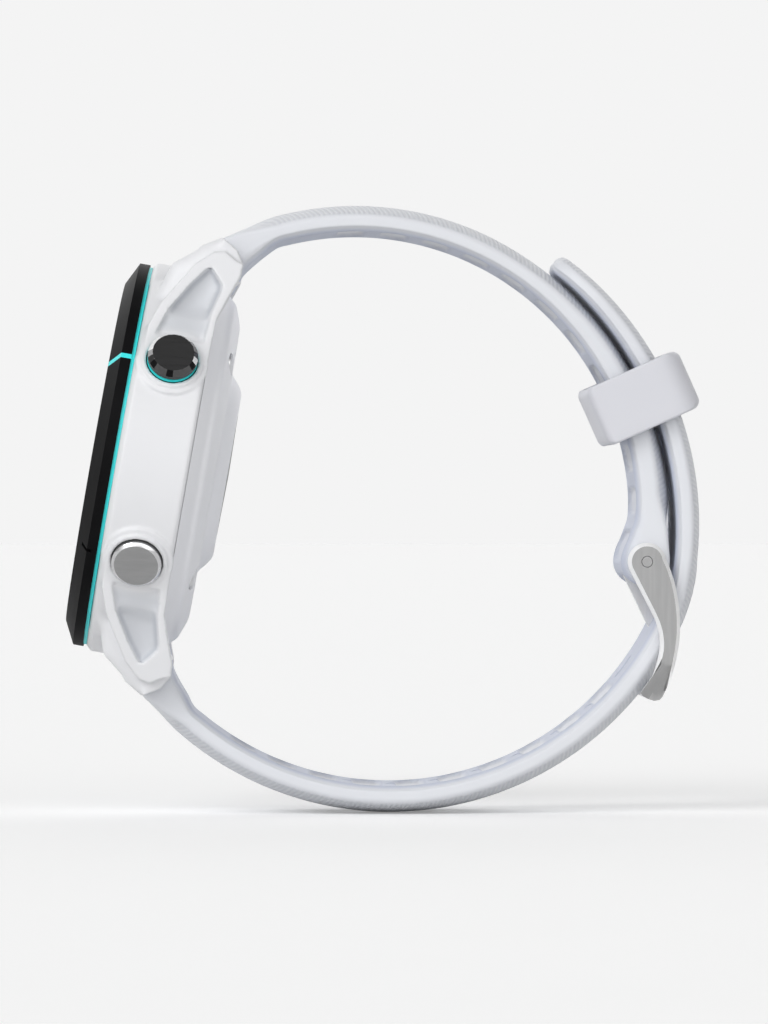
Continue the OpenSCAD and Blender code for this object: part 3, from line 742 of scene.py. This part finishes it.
# The back cover's outline as (radius, depth, corner radius).
cover_outline = rounded([
    (17.4, 10.33, 0), (20.86, 10.33, 0.12), (18.78, 11.5, 0.5), (18.3, 12.12, 0.5),
    (16.4, 12.84, 0.7), (15.6, 13.0, 0.4), (10.8, 13.0, 0.35), (9.75, 13.9, 0.5),
    (8.95, 14.39, 0.45), (6.75, 14.39, 0.1), (6.62, 14.2, 0.1), (6.62, 13.45, 0.05),
    (8.2, 13.2, 0), (8.6, 11.9, 0), (15.5, 11.9, 0), (16.9, 11.3, 0), (17.4, 10.4, 0),
], 6)
COVER_SIDES, COVER_SHARP = 256, 40
cover = lathe("case_back", cover_outline, on_case_axis, COVER_SIDES)


def case_prism(name, ring, x0, x1, y, z):
    """A cutter along the case axis, from depth x0 to x1, about (y, z)."""
    pts = [(x, y + u, z + v) for x in (x0, x1) for u, v in ring]
    return mesh_object(name, case_to_row(pts), prism_faces(len(ring)))


def circle(r, n=48):
    turns = [2 * math.pi * k / n for k in range(n)]
    return [(r * math.cos(a), r * math.sin(a)) for a in turns]


CUT_END = 14
SCREW_HOLES = {"deep": (0.65, 10), "wide": (1.3, 12)}  # radius, depth where it starts
PORT_Y, PORT_Z, PORT_AT, PORT_START = 4.7, 1.6, -12.6, 11
RELIEF_R, RELIEF_HALF, RELIEF_SIDES = 2.55, 9.15, 64

for sy in (-1, 1):
    for sz in (-1, 1):
        for name, (r, start) in SCREW_HOLES.items():
            hole = case_prism(name, circle(r), start, CUT_END, sy * SCREW_Y, sz * SCREW_Y)
            boolean(cover, hole)
port = [(-PORT_Y, -PORT_Z), (PORT_Y, -PORT_Z), (PORT_Y, PORT_Z), (-PORT_Y, PORT_Z)]
boolean(cover, case_prism("port", port, PORT_START, CUT_END, 0, PORT_AT))
for end in (-1, 1):
    ring = case_to_row([
        (BAR_D + u, y, end * BAR_H + v)
        for y in (-RELIEF_HALF, RELIEF_HALF) for u, v in circle(RELIEF_R, RELIEF_SIDES)
    ])
    boolean(cover, mesh_object("relief", ring, prism_faces(RELIEF_SIDES)))
sharp_by_angle(cover, COVER_SHARP)
paint(cover, COVER_PAINTED_LIGHT)
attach(cover, "case")
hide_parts("back_cover")


# ---- Buttons ----

FACETS = 22
# The place of each facet's finish in the list of the cap's materials; the mix of bright and
# black finishes is a painted reflection.
FACET_REFLECTIONS = (1, 1, 1, 3, 1, 2, 2, 3, 3, 3, 3, 2, 1, 4, 1, 1, 4, 1, 1, 1, 4, 3)


def faceted(r, a):
    """The radius of a many-sided bevel at an angle."""
    step = 2 * math.pi / FACETS
    return r * math.cos(step / 2) / math.cos((a % step) - step / 2)


CAP_ROUND, RING_DOWN, RING_HIGH, RING_DEEP, RING_LIP = 0.06, 1.15, 0.35, 0.3, 0.04
START_SHARP, CAP_SHARP = 5, 28
BEVEL_SLOPE = (0.2, 0.98)  # of a bevel face's normal, along the button's axis


def cap(name, angle, face, face_r, bevel, finish, start=False):
    """A push button turned in one piece: head, bevel, stem and its grooves.

    The START button has a faceted bevel and a seat for its coloured ring; its facets take
    bright and black finishes in turn, as a painted reflection.
    """
    outline = [
        (0, face), (face_r * 0.5, face), (face_r - 0.03, face), (face_r, face - 0.012),
        (CAP_R, face - bevel), (CAP_R, face - bevel - 0.03),
    ]
    if start:
        high, low = face - RING_DOWN, face - RING_DOWN - RING_HIGH
        outline += [
            (CAP_R, high + RING_LIP), (CAP_R - RING_LIP, high), (CAP_R - RING_DEEP, high),
            (CAP_R - RING_DEEP, low), (CAP_R - RING_LIP, low),
        ]
    outline += [
        (CAP_R, 20.66), (CAP_R - CAP_ROUND, 20.6), (STEM_R + 0.05, 20.6), (STEM_R, 20.55),
        (STEM_R, 19.1), (GROOVE_R, 19.1), (GROOVE_R, 18.66), (STEM_R, 18.66),
        (STEM_R, 17.97), (0.7, 17.97), (0.7, 17.72), (STEM_R, 17.72),
        (STEM_R, 17.3), (STEM_R - 0.1, 17.2), (0, 17.2),
    ]
    bevel_low = face - bevel - 0.01

    def edge(r, z, a):
        return faceted(r, a) if start and bevel_low < z < face - 0.005 else r
    ob = lathe(name, outline, on_button(angle), FACETS * 6, edge)
    paint(ob, *finish)
    foot, side, up, top = (
        Vector(on_button(angle)(np.array([q]))[0])
        for q in ((0, 0, 0.0), (1.0, 0, 0), (0, 1.0, 0), (0, 0, 1.0))
    )
    side, up, axis = side - foot, up - foot, top - foot
    for f in ob.data.polygons:
        at = f.center / MM - foot
        slope = abs(f.normal.dot(axis))
        if at.dot(axis) > bevel_low - 0.02 and within(slope, BEVEL_SLOPE):
            turn = math.atan2(at.dot(up), at.dot(side)) / (2 * math.pi) % 1
            # Painted reflection: each bevel facet takes a bright or dark finish from the list.
            f.material_index = FACET_REFLECTIONS[int(turn * FACETS)] if start else 1
    sharp_by_angle(ob, START_SHARP if start else CAP_SHARP)
    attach(ob, name.replace("_cap", "_button"))
    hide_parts(name.replace("_cap", "_button"))


START_FACE, CAP_FACE, UP_FACE = 23.15, 22.3, 21.9
# The START cap's finishes: its face, then its bevel's facets, whose bright and black finishes
# are painted reflections.
cap(
    "start_cap", BUTTONS["start"], START_FACE, 2.22, 0.6,
    (GUN, SMOKE, POLISH, RIM_STEEL, DARK_REFLECTION), True,
)
for b in ("back", "light", "up", "down"):
    face = UP_FACE if b == "up" else CAP_FACE
    cap(f"{b}_cap", BUTTONS[b], face, 2.36, 0.3, (CAP, POLISH))


# ---- Band ----

CROWN_POWER, SIDE_GAP = 2.4, 0.02
INNER_N, CROWN_N, CORNER_N, WALL_N = 40, 36, 5, 4
CHAMFER_UP, CHAMFER_IN, CHAMFER_BULGE, ROUND_OUT = 0.55, 0.95, 0.06, 0.5
DENT_HALF, DENT_DEEP, DENT_SIDE, DENT_SOFT, DENT_PITCH = 1.6, 0.42, 1.0, 0.3, 4.8
TIP_HALF, TIP_SOFT, TIP_THIN = 3.2, 1.0, 0.42
ROW_STEP, NO_DENT = 0.3, 9


def band_section(edge, half, crown, dent):
    """A closed section of (outward, y): chamfered inside, rounded outside."""
    cut_up, cut_in = min(CHAMFER_UP, edge * 0.35), min(CHAMFER_IN, half * 0.3)
    r_out = min(ROUND_OUT, edge * 0.42, half * 0.3)
    chamfer = [
        (cut_up * t + CHAMFER_BULGE * math.sin(math.pi * t), half - cut_in * (1 - t))
        for t in (k / CORNER_N for k in range(CORNER_N + 1))
    ]
    pts = []
    for k in range(INNER_N):
        y = (half - cut_in) * (2 * k / INNER_N - 1)
        pts.append((dent(y), y))
    pts += chamfer
    for k in range(1, WALL_N):
        pts.append((cut_up + (edge - r_out - cut_up) * k / WALL_N, half))
    corner = [math.pi / 2 * k / CORNER_N for k in range(CORNER_N + 1)]
    top = [(edge - r_out * (1 - math.sin(a)), half - r_out * (1 - math.cos(a))) for a in corner]
    inner_half = half - r_out
    top += [(edge, inner_half * (1 - 2 * k / CROWN_N)) for k in range(1, CROWN_N)]
    top += [(t, -y) for t, y in reversed(top[:CORNER_N + 1])]
    for t, y in top:
        pts.append((t + crown * (1 - min(1, abs(y) / half) ** CROWN_POWER), y))
    for k in range(WALL_N - 1, 0, -1):
        pts.append((cut_up + (edge - r_out - cut_up) * k / WALL_N, -half))
    pts += [(t, -y) for t, y in reversed(chamfer[1:])]
    return pts


def band_half(x):
    """Half width of the band where its inner side is at x."""
    t = min(1, max(0, (x + 15) / 47))
    return BAND_ROOT_HALF + (BAND_TIP_HALF - BAND_ROOT_HALF) * t


def quarter_round(left, length):
    """From 1 at the tip to 0 at a length from it, along a quarter circle."""
    return 1 - math.sqrt(max(0, 1 - (1 - left / length) ** 2))


def band(name, stations, dents, tip_round=0):
    """Lofts a band; a station is (inner x, z, outer edge x, z, crown)."""
    rows, run = even(stations, ROW_STEP)
    pts = []
    for row, s in zip(rows, run):
        inner, outer = np.array(row[0:2]), np.array(row[2:4])
        edge = float(np.linalg.norm(outer - inner))
        n = (outer - inner) / edge
        half = band_half(inner[0]) - SIDE_GAP
        left = run[-1] - s
        if tip_round and left < tip_round:
            half -= (half - TIP_HALF) * quarter_round(left, tip_round)
        if tip_round and left < TIP_SOFT:
            shrink = TIP_THIN * quarter_round(left, TIP_SOFT)
            inner = inner + n * edge * shrink
            edge = edge * (1 - 2 * shrink)
        near = min((abs(s - at) for at in dents), default=NO_DENT)

        def dent(y, near=near, half=half):
            inside = 1 - (near / DENT_HALF) ** 2 - (abs(y) / (half - DENT_SIDE)) ** 6
            return DENT_DEEP * float(smooth_step(inside / DENT_SOFT))
        for t, y in band_section(edge, half, row[4], dent):
            q = inner + n * t
            pts.append((q[0], y, q[1]))
    cols = len(pts) // len(rows)
    faces = grid_faces(len(rows), cols)
    faces.append(tuple(reversed(range(cols))))
    faces.append(tuple(range((len(rows) - 1) * cols, len(rows) * cols)))
    return mesh_object(name, pts, faces), rows, run


BATCH = 4000
OUTSIDE_FROM, OUTSIDE_FADE, INSIDE_TO, INSIDE_FADE = 0.97, 0.12, 0.2, 0.15


def tag_band(ob, rows, run):
    """Stores how far along, across and out each point of a band is."""
    co = coordinates(ob.data)
    inner = rows[:, 0:2]
    normal = rows[:, 2:4] - inner
    edge = np.linalg.norm(normal, axis=1)
    normal = normal / edge[:, None]
    mid = inner + normal * edge[:, None] * 0.5
    along, out = np.empty(len(co)), np.empty(len(co))
    for start in range(0, len(co), BATCH):
        part = slice(start, start + BATCH)
        p = co[part][:, [0, 2]]
        i = ((p[:, None, :] - mid[None]) ** 2).sum(axis=2).argmin(axis=1)
        tangent = np.column_stack([normal[i][:, 1], -normal[i][:, 0]])
        along[part] = run[i] + ((p - mid[i]) * tangent).sum(axis=1)
        out[part] = ((p - inner[i]) * normal[i]).sum(axis=1) / edge[i]
    store(ob.data, "along", along)
    store(ob.data, "across", co[:, 1])
    store(ob.data, "outside", np.clip((out - OUTSIDE_FROM) / OUTSIDE_FADE, 0, 1))
    store(ob.data, "inside", np.clip((INSIDE_TO - out) / INSIDE_FADE, 0, 1))


def arc_rows(c, r, a0, a1, n, edge=BAND_EDGE):
    """Stations along an arc, from one angle to another."""
    turns = [a0 + (a1 - a0) * k / n for k in range(n + 1)]
    return [(*polar(c, r, a), *polar(c, r + edge, a), BAND_T - BAND_EDGE) for a in turns]


def root_rows(end):
    """From the strap's nose in the lugs to the start of its arc."""
    pairs = [
        ((11.35, 19.42), (10.35, 19.5), 0.0), ((11.55, 19.56), (9.3, 19.56), 0.0),
        ((11.8, 20.2), (8.35, 20.15), 0.0), ((12.05, 20.95), (7.85, 21.0), 0.0),
        ((12.3, 21.65), (7.85, 21.9), 0.05), ((12.8, 22.4), (8.3, 23.0), 0.15),
        ((13.4, 23.15), (9.3, 24.4), 0.3), ((14.3, 24.2), (11.2, 25.6), 0.5),
    ]
    return [(*row_of(i[0], end * i[1]), *row_of(o[0], end * o[1]), c) for i, o, c in pairs]


BAND_GAP = 0.3
UPPER_EDGE, EDGE_GROWS, GROW_FROM, GROW_OVER = 1.79, 0.59, 60, 45
UNDER_FROM, UNDER_FADE, UPPER_MORE = 56, 9, 0.11
LOWER_MORE = 0.14


def upper_row(a):
    """The upper strap thickens under the free end, up to a small gap."""
    edge = UPPER_EDGE + EDGE_GROWS * float(smooth_step((GROW_FROM - a) / GROW_OVER))
    start, out = np.array(polar(UPPER_C, UPPER_R, a)), np.array(polar((0, 0), 1, a))
    gap = start - np.array(TAIL_IN_C)
    reach = -gap @ out + math.sqrt((gap @ out) ** 2 - gap @ gap + TAIL_IN_R ** 2) - BAND_GAP
    under = float(smooth_step((UNDER_FROM - a) / UNDER_FADE))
    tall = (BAND_T + UPPER_MORE) * (1 - under) + reach * under
    return (*start, *(start + out * edge), tall - edge)


TAIL_START, TAIL_STEPS = -6, 26


def tail_rows():
    """The free end thins towards its tip, between two arcs."""
    rows = []
    for k in range(TAIL_STEPS + 1):
        a = TAIL_START + (TAIL_TIP - TAIL_START - 0.1) * k / TAIL_STEPS
        outer = polar(TAIL_C, TAIL_OUT_R, a)
        ray = np.array(outer) - np.array(TAIL_IN_C)
        out = ray / np.linalg.norm(ray)
        inner = np.array(TAIL_IN_C) + out * TAIL_IN_R
        thick = float(np.linalg.norm(np.array(outer) - inner))
        crown = min(BAND_T - BAND_EDGE, thick * 0.36)
        rows.append((*inner, *(inner + out * (thick - crown)), crown))
    return rows


# The upper strap ends in the buckle's eye.
upper_pts = root_rows(1) + [upper_row(106 - 103 * k / 44) for k in range(45)]
upper_pts += [
    (26.78, 31.6, 29.95, 31.5, 0.5), (26.45, 30.6, 30.2, 30.5, 0.15),
    (26.0, 29.4, 30.3, 29.4, 0.05), (25.55, 28.4, 30.38, 28.4, 0.0),
    (25.27, 27.2, 30.45, 27.3, 0.0), (25.37, 26.2, 30.38, 26.2, 0.0),
    (25.92, 25.25, 29.95, 25.3, 0.0), (26.75, 24.62, 29.1, 24.64, 0.0),
    (27.45, 24.4, 28.35, 24.4, 0.0),
]
lower_pts = root_rows(-1) + arc_rows(LOWER_C, LOWER_R, -132, -26, 40, BAND_EDGE + LOWER_MORE)
lower_pts += arc_rows(BLEND_C, BLEND_R, -24, -8.5, 6)
lower_pts += tail_rows()


def dent_run(first, last):
    """Where the dents lie along the band's inside."""
    return [first + k * DENT_PITCH for k in range(int((last - first) / DENT_PITCH) + 1)]


UPPER_SAMPLES, LOWER_SAMPLES, TAIL_ROUND = 1400, 2200, 7
upper, rows_u, run_u = band("band_upper", spline(upper_pts, UPPER_SAMPLES), dent_run(17.75, 76))
tag_band(upper, rows_u, run_u)
paint(upper, BAND)
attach(upper, "upper_strap")
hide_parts("upper_strap")

lower, rows_l, run_l = band(
    "band_lower", spline(lower_pts, LOWER_SAMPLES), dent_run(16, 60), TAIL_ROUND
)
PILL_R, PILL_STRETCH, PILL_SIDES, PILL_FROM, PILL_TO = 1.2, 0.3, 24, -2.5, 5.0


def pill_cutter(points):
    """Pill-shaped prisms through a band; a point is (x, z, direction out)."""
    parts = []
    for k, (x, z, a) in enumerate(points):
        pts = []
        for layer in (PILL_FROM, PILL_TO):
            for u, v in circle(PILL_R, PILL_SIDES):
                u += PILL_STRETCH if u > 0 else -PILL_STRETCH
                ca, sa = math.cos(a), math.sin(a)
                pts.append((x + layer * ca - u * sa, v, z + layer * sa + u * ca))
        parts.append(mesh_object(f"pill{k}", pts, prism_faces(PILL_SIDES)))
    return joined("pills", parts)


def hole_run(c, r, first, step, count):
    """Holes at even steps along an arc, from just after an angle."""
    turn = step / r
    turns = [math.radians(first) + k * turn for k in range(1, count + 1)]
    return [(c[0] + r * math.cos(a), c[1] + r * math.sin(a), a) for a in turns]


HOLE_PITCH = 4.7
pills = hole_run(LOWER_C, LOWER_R, -28.5, -HOLE_PITCH, 8)
pills += hole_run(TAIL_IN_C, TAIL_IN_R, -1.2, HOLE_PITCH, 3)
boolean(lower, pill_cutter(pills))
tag_band(lower, rows_l, run_l)
paint(lower, BAND)
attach(lower, "lower_strap")
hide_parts("lower_strap")


# ---- Keeper ----

def rounded_ring(u0, u1, v, r_low, r_high, n=8, parts=6):
    """A rounded rectangle with points along its sides, counterclockwise."""
    corners = []
    for cu, cv, r, a0 in (
        (u1 - r_high, v - r_high, r_high, 0), (u0 + r_low, v - r_low, r_low, 90),
        (u0 + r_low, r_low - v, r_low, 180), (u1 - r_high, r_high - v, r_high, 270),
    ):
        corners.append([np.array(polar((cu, cv), r, a0 + 90 * k / n)) for k in range(n + 1)])
    out = []
    for i, corner in enumerate(corners):
        a, b = corner[-1], corners[(i + 1) % 4][0]
        out += corner + [a + (b - a) * k / parts for k in range(1, parts)]
    return out


KEEPER_OUT = 0.2  # how much further out its outside lies than the CAD's
KEEPER_WIDE, NEAR_R, FAR_R = 10.1, 1.0, 2.8
HOLE_WIDE, HOLE_NEAR_R, HOLE_FAR_R = 8.5, 0.5, 1.0
SOFT_END, SOFT_SIDE, SOFT_IN, SOFT_FADE = 0.95, 0.28, 0.3, 1.1
outer_ring = rounded_ring(
    -KEEPER_DEEP / 2 + KEEPER_OUT, KEEPER_DEEP / 2 + KEEPER_OUT, KEEPER_WIDE, NEAR_R, FAR_R
)
inner_ring = rounded_ring(*KEEPER_IN, HOLE_WIDE, HOLE_NEAR_R, HOLE_FAR_R)


def keeper_profile(soft):
    """(outer or inner side, inwards, along the band) around the loop's wall."""
    def turn(side, r, sign, n):
        angles = [math.pi / 2 * k / n for k in range(n + 1)]
        return [
            (side, r * (1 - math.sin(a)), sign * (KEEPER_HALF - r * (1 - math.cos(a))))
            for a in angles
        ]
    flat = [("o", 0, (soft - KEEPER_HALF) * (1 - k / 3)) for k in range(1, 6)]
    return (
        turn("o", soft, -1, 8) + flat + turn("o", soft, 1, 8)[::-1]
        + turn("i", SOFT_IN, 1, 4) + turn("i", SOFT_IN, -1, 4)[::-1]
    )


cl, sl = math.cos(KEEPER_LEAN), math.sin(KEEPER_LEAN)
pts = []
for o, i in zip(outer_ring, inner_ring):
    n = (i - o) / np.linalg.norm(i - o)
    at_end = smooth_step((abs(o[0]) - KEEPER_DEEP / 2 + SOFT_FADE) / SOFT_FADE)
    profile = keeper_profile(SOFT_SIDE + (SOFT_END - SOFT_SIDE) * at_end)
    for side, inward, w in profile:
        u, y = o + n * inward if side == "o" else i - n * inward
        pts.append((KEEPER_C[0] + u * cl - w * sl, y, KEEPER_C[1] + u * sl + w * cl))
loop = mesh_object("keeper_loop", pts, grid_faces(len(outer_ring), len(profile), True))
paint(loop, LOOP)
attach(loop, "keeper")
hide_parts("keeper")


# ---- Buckle ----

# Angles are round the arm's arc, in degrees; the face ends short of the arm's tip.
FACE_CUT, FACE_END = 0.38, -14.5
ARM_TOP, ARM_LOW, ARM_IN_LOW = 22, -26.8, -27
EYE_R, EYE_FROM, EYE_TO, EYE_STEPS = 2.02, 8, 209, 24
EASE_CORNER, EASE_END, EASE_LONG, EASE_STEPS = -3, -10.5, 2.4, 9
TIP_DROP, DROP_FROM, DROP_OVER = 0.75, -19, 9
PIN_HOLE_R, PIN_HOLE_SIDES = 0.61, 48
# The arm's end as (radius, angle).
ARM_END = [(16.98, -28.3), (16.5, -29.6), (15.8, -30.1), (15.2, -30.1), (14.87, -29.5)]


def sweep(r, a0, a1, n):
    """Points on an arc about the arm's centre, each with its angle."""
    turns = [a0 + (a1 - a0) * k / n for k in range(n + 1)]
    return [(polar(ARM_C, r, a), a) for a in turns]


def arm_paths():
    """The arm's outline and the smaller outline of its brushed face."""
    full = sweep(ARM_OUT_R, ARM_LOW, ARM_TOP, 40)
    face = sweep(ARM_OUT_R - FACE_CUT, FACE_END, ARM_TOP, 40)
    for k in range(EYE_STEPS + 1):
        a = EYE_FROM + (EYE_TO - EYE_FROM) * k / EYE_STEPS
        full.append((polar(PIN_C, EYE_R, a), ARM_TOP))
        face.append((polar(PIN_C, EYE_R - FACE_CUT, a), ARM_TOP))
    inner = ((full, ARM_IN_R, ARM_IN_LOW), (face, ARM_IN_R + FACE_CUT, FACE_END))
    for path, r, last in inner:
        corner = Vector(polar(ARM_C, r, EASE_CORNER))
        leave = corner + (Vector(path[-1][0]) - corner).normalized() * EASE_LONG
        meet = Vector(polar(ARM_C, r, EASE_END))
        for t in (k / EASE_STEPS for k in range(EASE_STEPS)):
            at = leave * (1 - t) ** 2 + corner * 2 * t * (1 - t) + meet * t * t
            path.append((tuple(at), 0))
        path += sweep(r, EASE_END, last, 11)
    tip = polar(ARM_C, (ARM_OUT_R + ARM_IN_R) / 2, FACE_END)
    for k, (r, a) in enumerate(reversed(ARM_END)):
        b = 180 + FACE_END + 180 * (k + 1) / (len(ARM_END) + 1)
        full.append((polar(ARM_C, r, a), a))
        face.append((polar(tip, (ARM_OUT_R - ARM_IN_R) / 2 - FACE_CUT, b), a))
    return full, face


def buckle_side(name, side):
    """One arm: a flat brushed face inside a wide satin bevel."""
    full, face = arm_paths()
    y0, y1 = ARM_IN_Y, ARM_IN_Y + ARM_T
    pts = [(x, side * (y0 + 0.1), z) for (x, z), a in full]
    for (x, z), a in full:
        low = TIP_DROP * float(smooth_step((DROP_FROM - a) / DROP_OVER))
        pts.append((x, side * (y1 - FACE_CUT - low), z))
    pts += [(x, side * y1, z) for (x, z), a in face]
    ob = mesh_object(name, pts, prism_faces(len(full), 3))
    turns = [360 * k / PIN_HOLE_SIDES for k in range(PIN_HOLE_SIDES)]
    rim = [polar(PIN_C, PIN_HOLE_R, a) for a in turns]
    hole = [(x, side * y, z) for y in (y0 - 1, y1 + 1) for x, z in rim]
    return boolean(ob, mesh_object("hole", hole, prism_faces(PIN_HOLE_SIDES)), "DIFFERENCE")


def prism(name, outline, half_y):
    """An upright prism across the band."""
    pts = [(x, y, z) for y in (-half_y, half_y) for x, z in outline]
    return mesh_object(name, pts, prism_faces(len(outline)))


# The crossbar, with a notch for the tongue.
BAR_IN_R, NOTCH_R, NOTCH_HALF, BAR_REACH = 15.95, 16.55, 1.25, 0.6
FLAT_NORMAL, TIP_NORMAL, TIP_FROM, BUCKLE_SHARP = 0.985, 0.3, 3, 24
bar_outline = [p for p, a in sweep(ARM_OUT_R, -23, ARM_LOW, 4)]
bar_outline += [polar(ARM_C, *corner) for corner in ARM_END[:2]]
bar_outline += [p for p, a in sweep(BAR_IN_R, -30, -23, 6)]
bar = prism("bar", bar_outline, ARM_IN_Y + BAR_REACH)
notch = [polar(ARM_C, 19, -18), polar(ARM_C, 19, -35)]
notch += [p for p, a in sweep(NOTCH_R, -35, -18, 10)]
boolean(bar, prism("notch", notch, NOTCH_HALF))
frame_piece = buckle_side("buckle_sides", -1)
boolean(frame_piece, buckle_side("other_side", 1), "UNION")
boolean(frame_piece, bar, "UNION")
frame_piece.name = "buckle_loop"
paint(frame_piece, FACE_STEEL, RIM_STEEL)
for f in frame_piece.data.polygons:
    at = f.center / MM
    flat = abs(f.normal.y) > FLAT_NORMAL and abs(at.y) > ARM_IN_Y + ARM_T - 0.05
    turn = math.degrees(math.atan2(at.z - ARM_C[1], at.x - ARM_C[0]))
    at_tip = turn < FACE_END - TIP_FROM and abs(f.normal.y) > TIP_NORMAL
    f.material_index = 0 if flat or at_tip else 1
sharp_by_angle(frame_piece, BUCKLE_SHARP)
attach(frame_piece, "buckle")
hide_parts("buckle_frame")


# ---- Stage, camera and light ----

# The light by direction: y goes from front to back, and x goes to the right.
AMBIENT, LEFT_LIGHT, BACKDROP = 0.1, 0.25, 0.905
BOX_LIGHT, BOX_POWER, BOX_HOLE, HOLE_POWER = 2.95, 3.0, 2.4, 14.0


def world_light():
    """Big ring-shaped soft boxes in front and behind, weaker light from the left."""
    world = bpy.data.worlds.new("studio")
    bpy.context.scene.world = world
    world.use_nodes = True
    tree = world.node_tree
    coord = tree.nodes.new("ShaderNodeTexCoord")
    sep = tree.nodes.new("ShaderNodeSeparateXYZ")
    tree.links.new(coord.outputs["Generated"], sep.inputs[0])
    x, y = sep.outputs[:2]

    def term(operation, a, b):
        return math_node(tree, operation, a, b)
    depth = term("ABSOLUTE", y, 0.0)
    total = AMBIENT
    for part in (
        term("MULTIPLY", term("POWER", depth, BOX_POWER), BOX_LIGHT),
        term("MULTIPLY", term("POWER", depth, HOLE_POWER), -BOX_HOLE),
        term("MULTIPLY", term("MAXIMUM", term("MULTIPLY", x, -1.0), 0.0), LEFT_LIGHT),
    ):
        total = term("ADD", part, total)
    path = tree.nodes.new("ShaderNodeLightPath")
    pick = tree.nodes.new("ShaderNodeMix")
    tree.links.new(path.outputs["Is Camera Ray"], pick.inputs["Factor"])
    tree.links.new(total, pick.inputs["A"])
    pick.inputs["B"].default_value = BACKDROP
    background = tree.nodes["Background"]
    tree.links.new(pick.outputs["Result"], background.inputs["Strength"])
    background.inputs["Color"].default_value = (1, 1, 1, 1)


world_light()


KEY_TOWARDS, KEY_STRENGTH, KEY_ANGLE = (0.55, 0.62, -0.55), 0.9, 35
key = bpy.data.lights.new("key", "SUN")
key.energy = KEY_STRENGTH
key.angle = math.radians(KEY_ANGLE)
lamp = linked("key", key)
lamp.rotation_euler = Vector(KEY_TOWARDS).to_track_quat("-Z", "Y").to_euler()

# The floor in metres; only the camera sees its glow.
FLOOR_HALF, FLOOR, FLOOR_SPREAD, FLOOR_GLOW = 6.0, 0.86, 0.004, 0.23
bm = bmesh.new()
bmesh.ops.create_grid(bm, x_segments=4, y_segments=4, size=FLOOR_HALF)
me = bpy.data.meshes.new("floor")
bm.to_mesh(me)
bm.free()
floor = linked("floor", me)
pale = Shader("floor_paper", Roughness=0.9, Emission_Color=(1, 1, 1))
darker, lighter = (FLOOR - FLOOR_SPREAD,) * 3, (FLOOR + FLOOR_SPREAD,) * 3
pale.into(pale.ramp(pale.noise(60, 2), darker, lighter), "Base Color")
seen = pale.add("ShaderNodeLightPath").outputs["Is Camera Ray"]
pale.into(pale.math("MULTIPLY", seen, FLOOR_GLOW), "Emission Strength")
paint(floor, pale.material)

CAMERA_FROM, CAMERA_TO = Vector((-17.2, -715, 32.3)) * MM, Vector((0.09, 0, 32.3)) * MM
SENSOR, LENS_LENGTH = 36, 233
camera = bpy.data.cameras.new("camera")
camera.sensor_width = SENSOR
camera.lens = LENS_LENGTH
camera.clip_start = 0.01
camera.clip_end = 50
view = linked("camera", camera)
view.location = CAMERA_FROM
view.rotation_euler = (CAMERA_TO - CAMERA_FROM).to_track_quat("-Z", "Y").to_euler()
bpy.context.scene.camera = view
bpy.context.scene.view_settings.view_transform = "Standard"
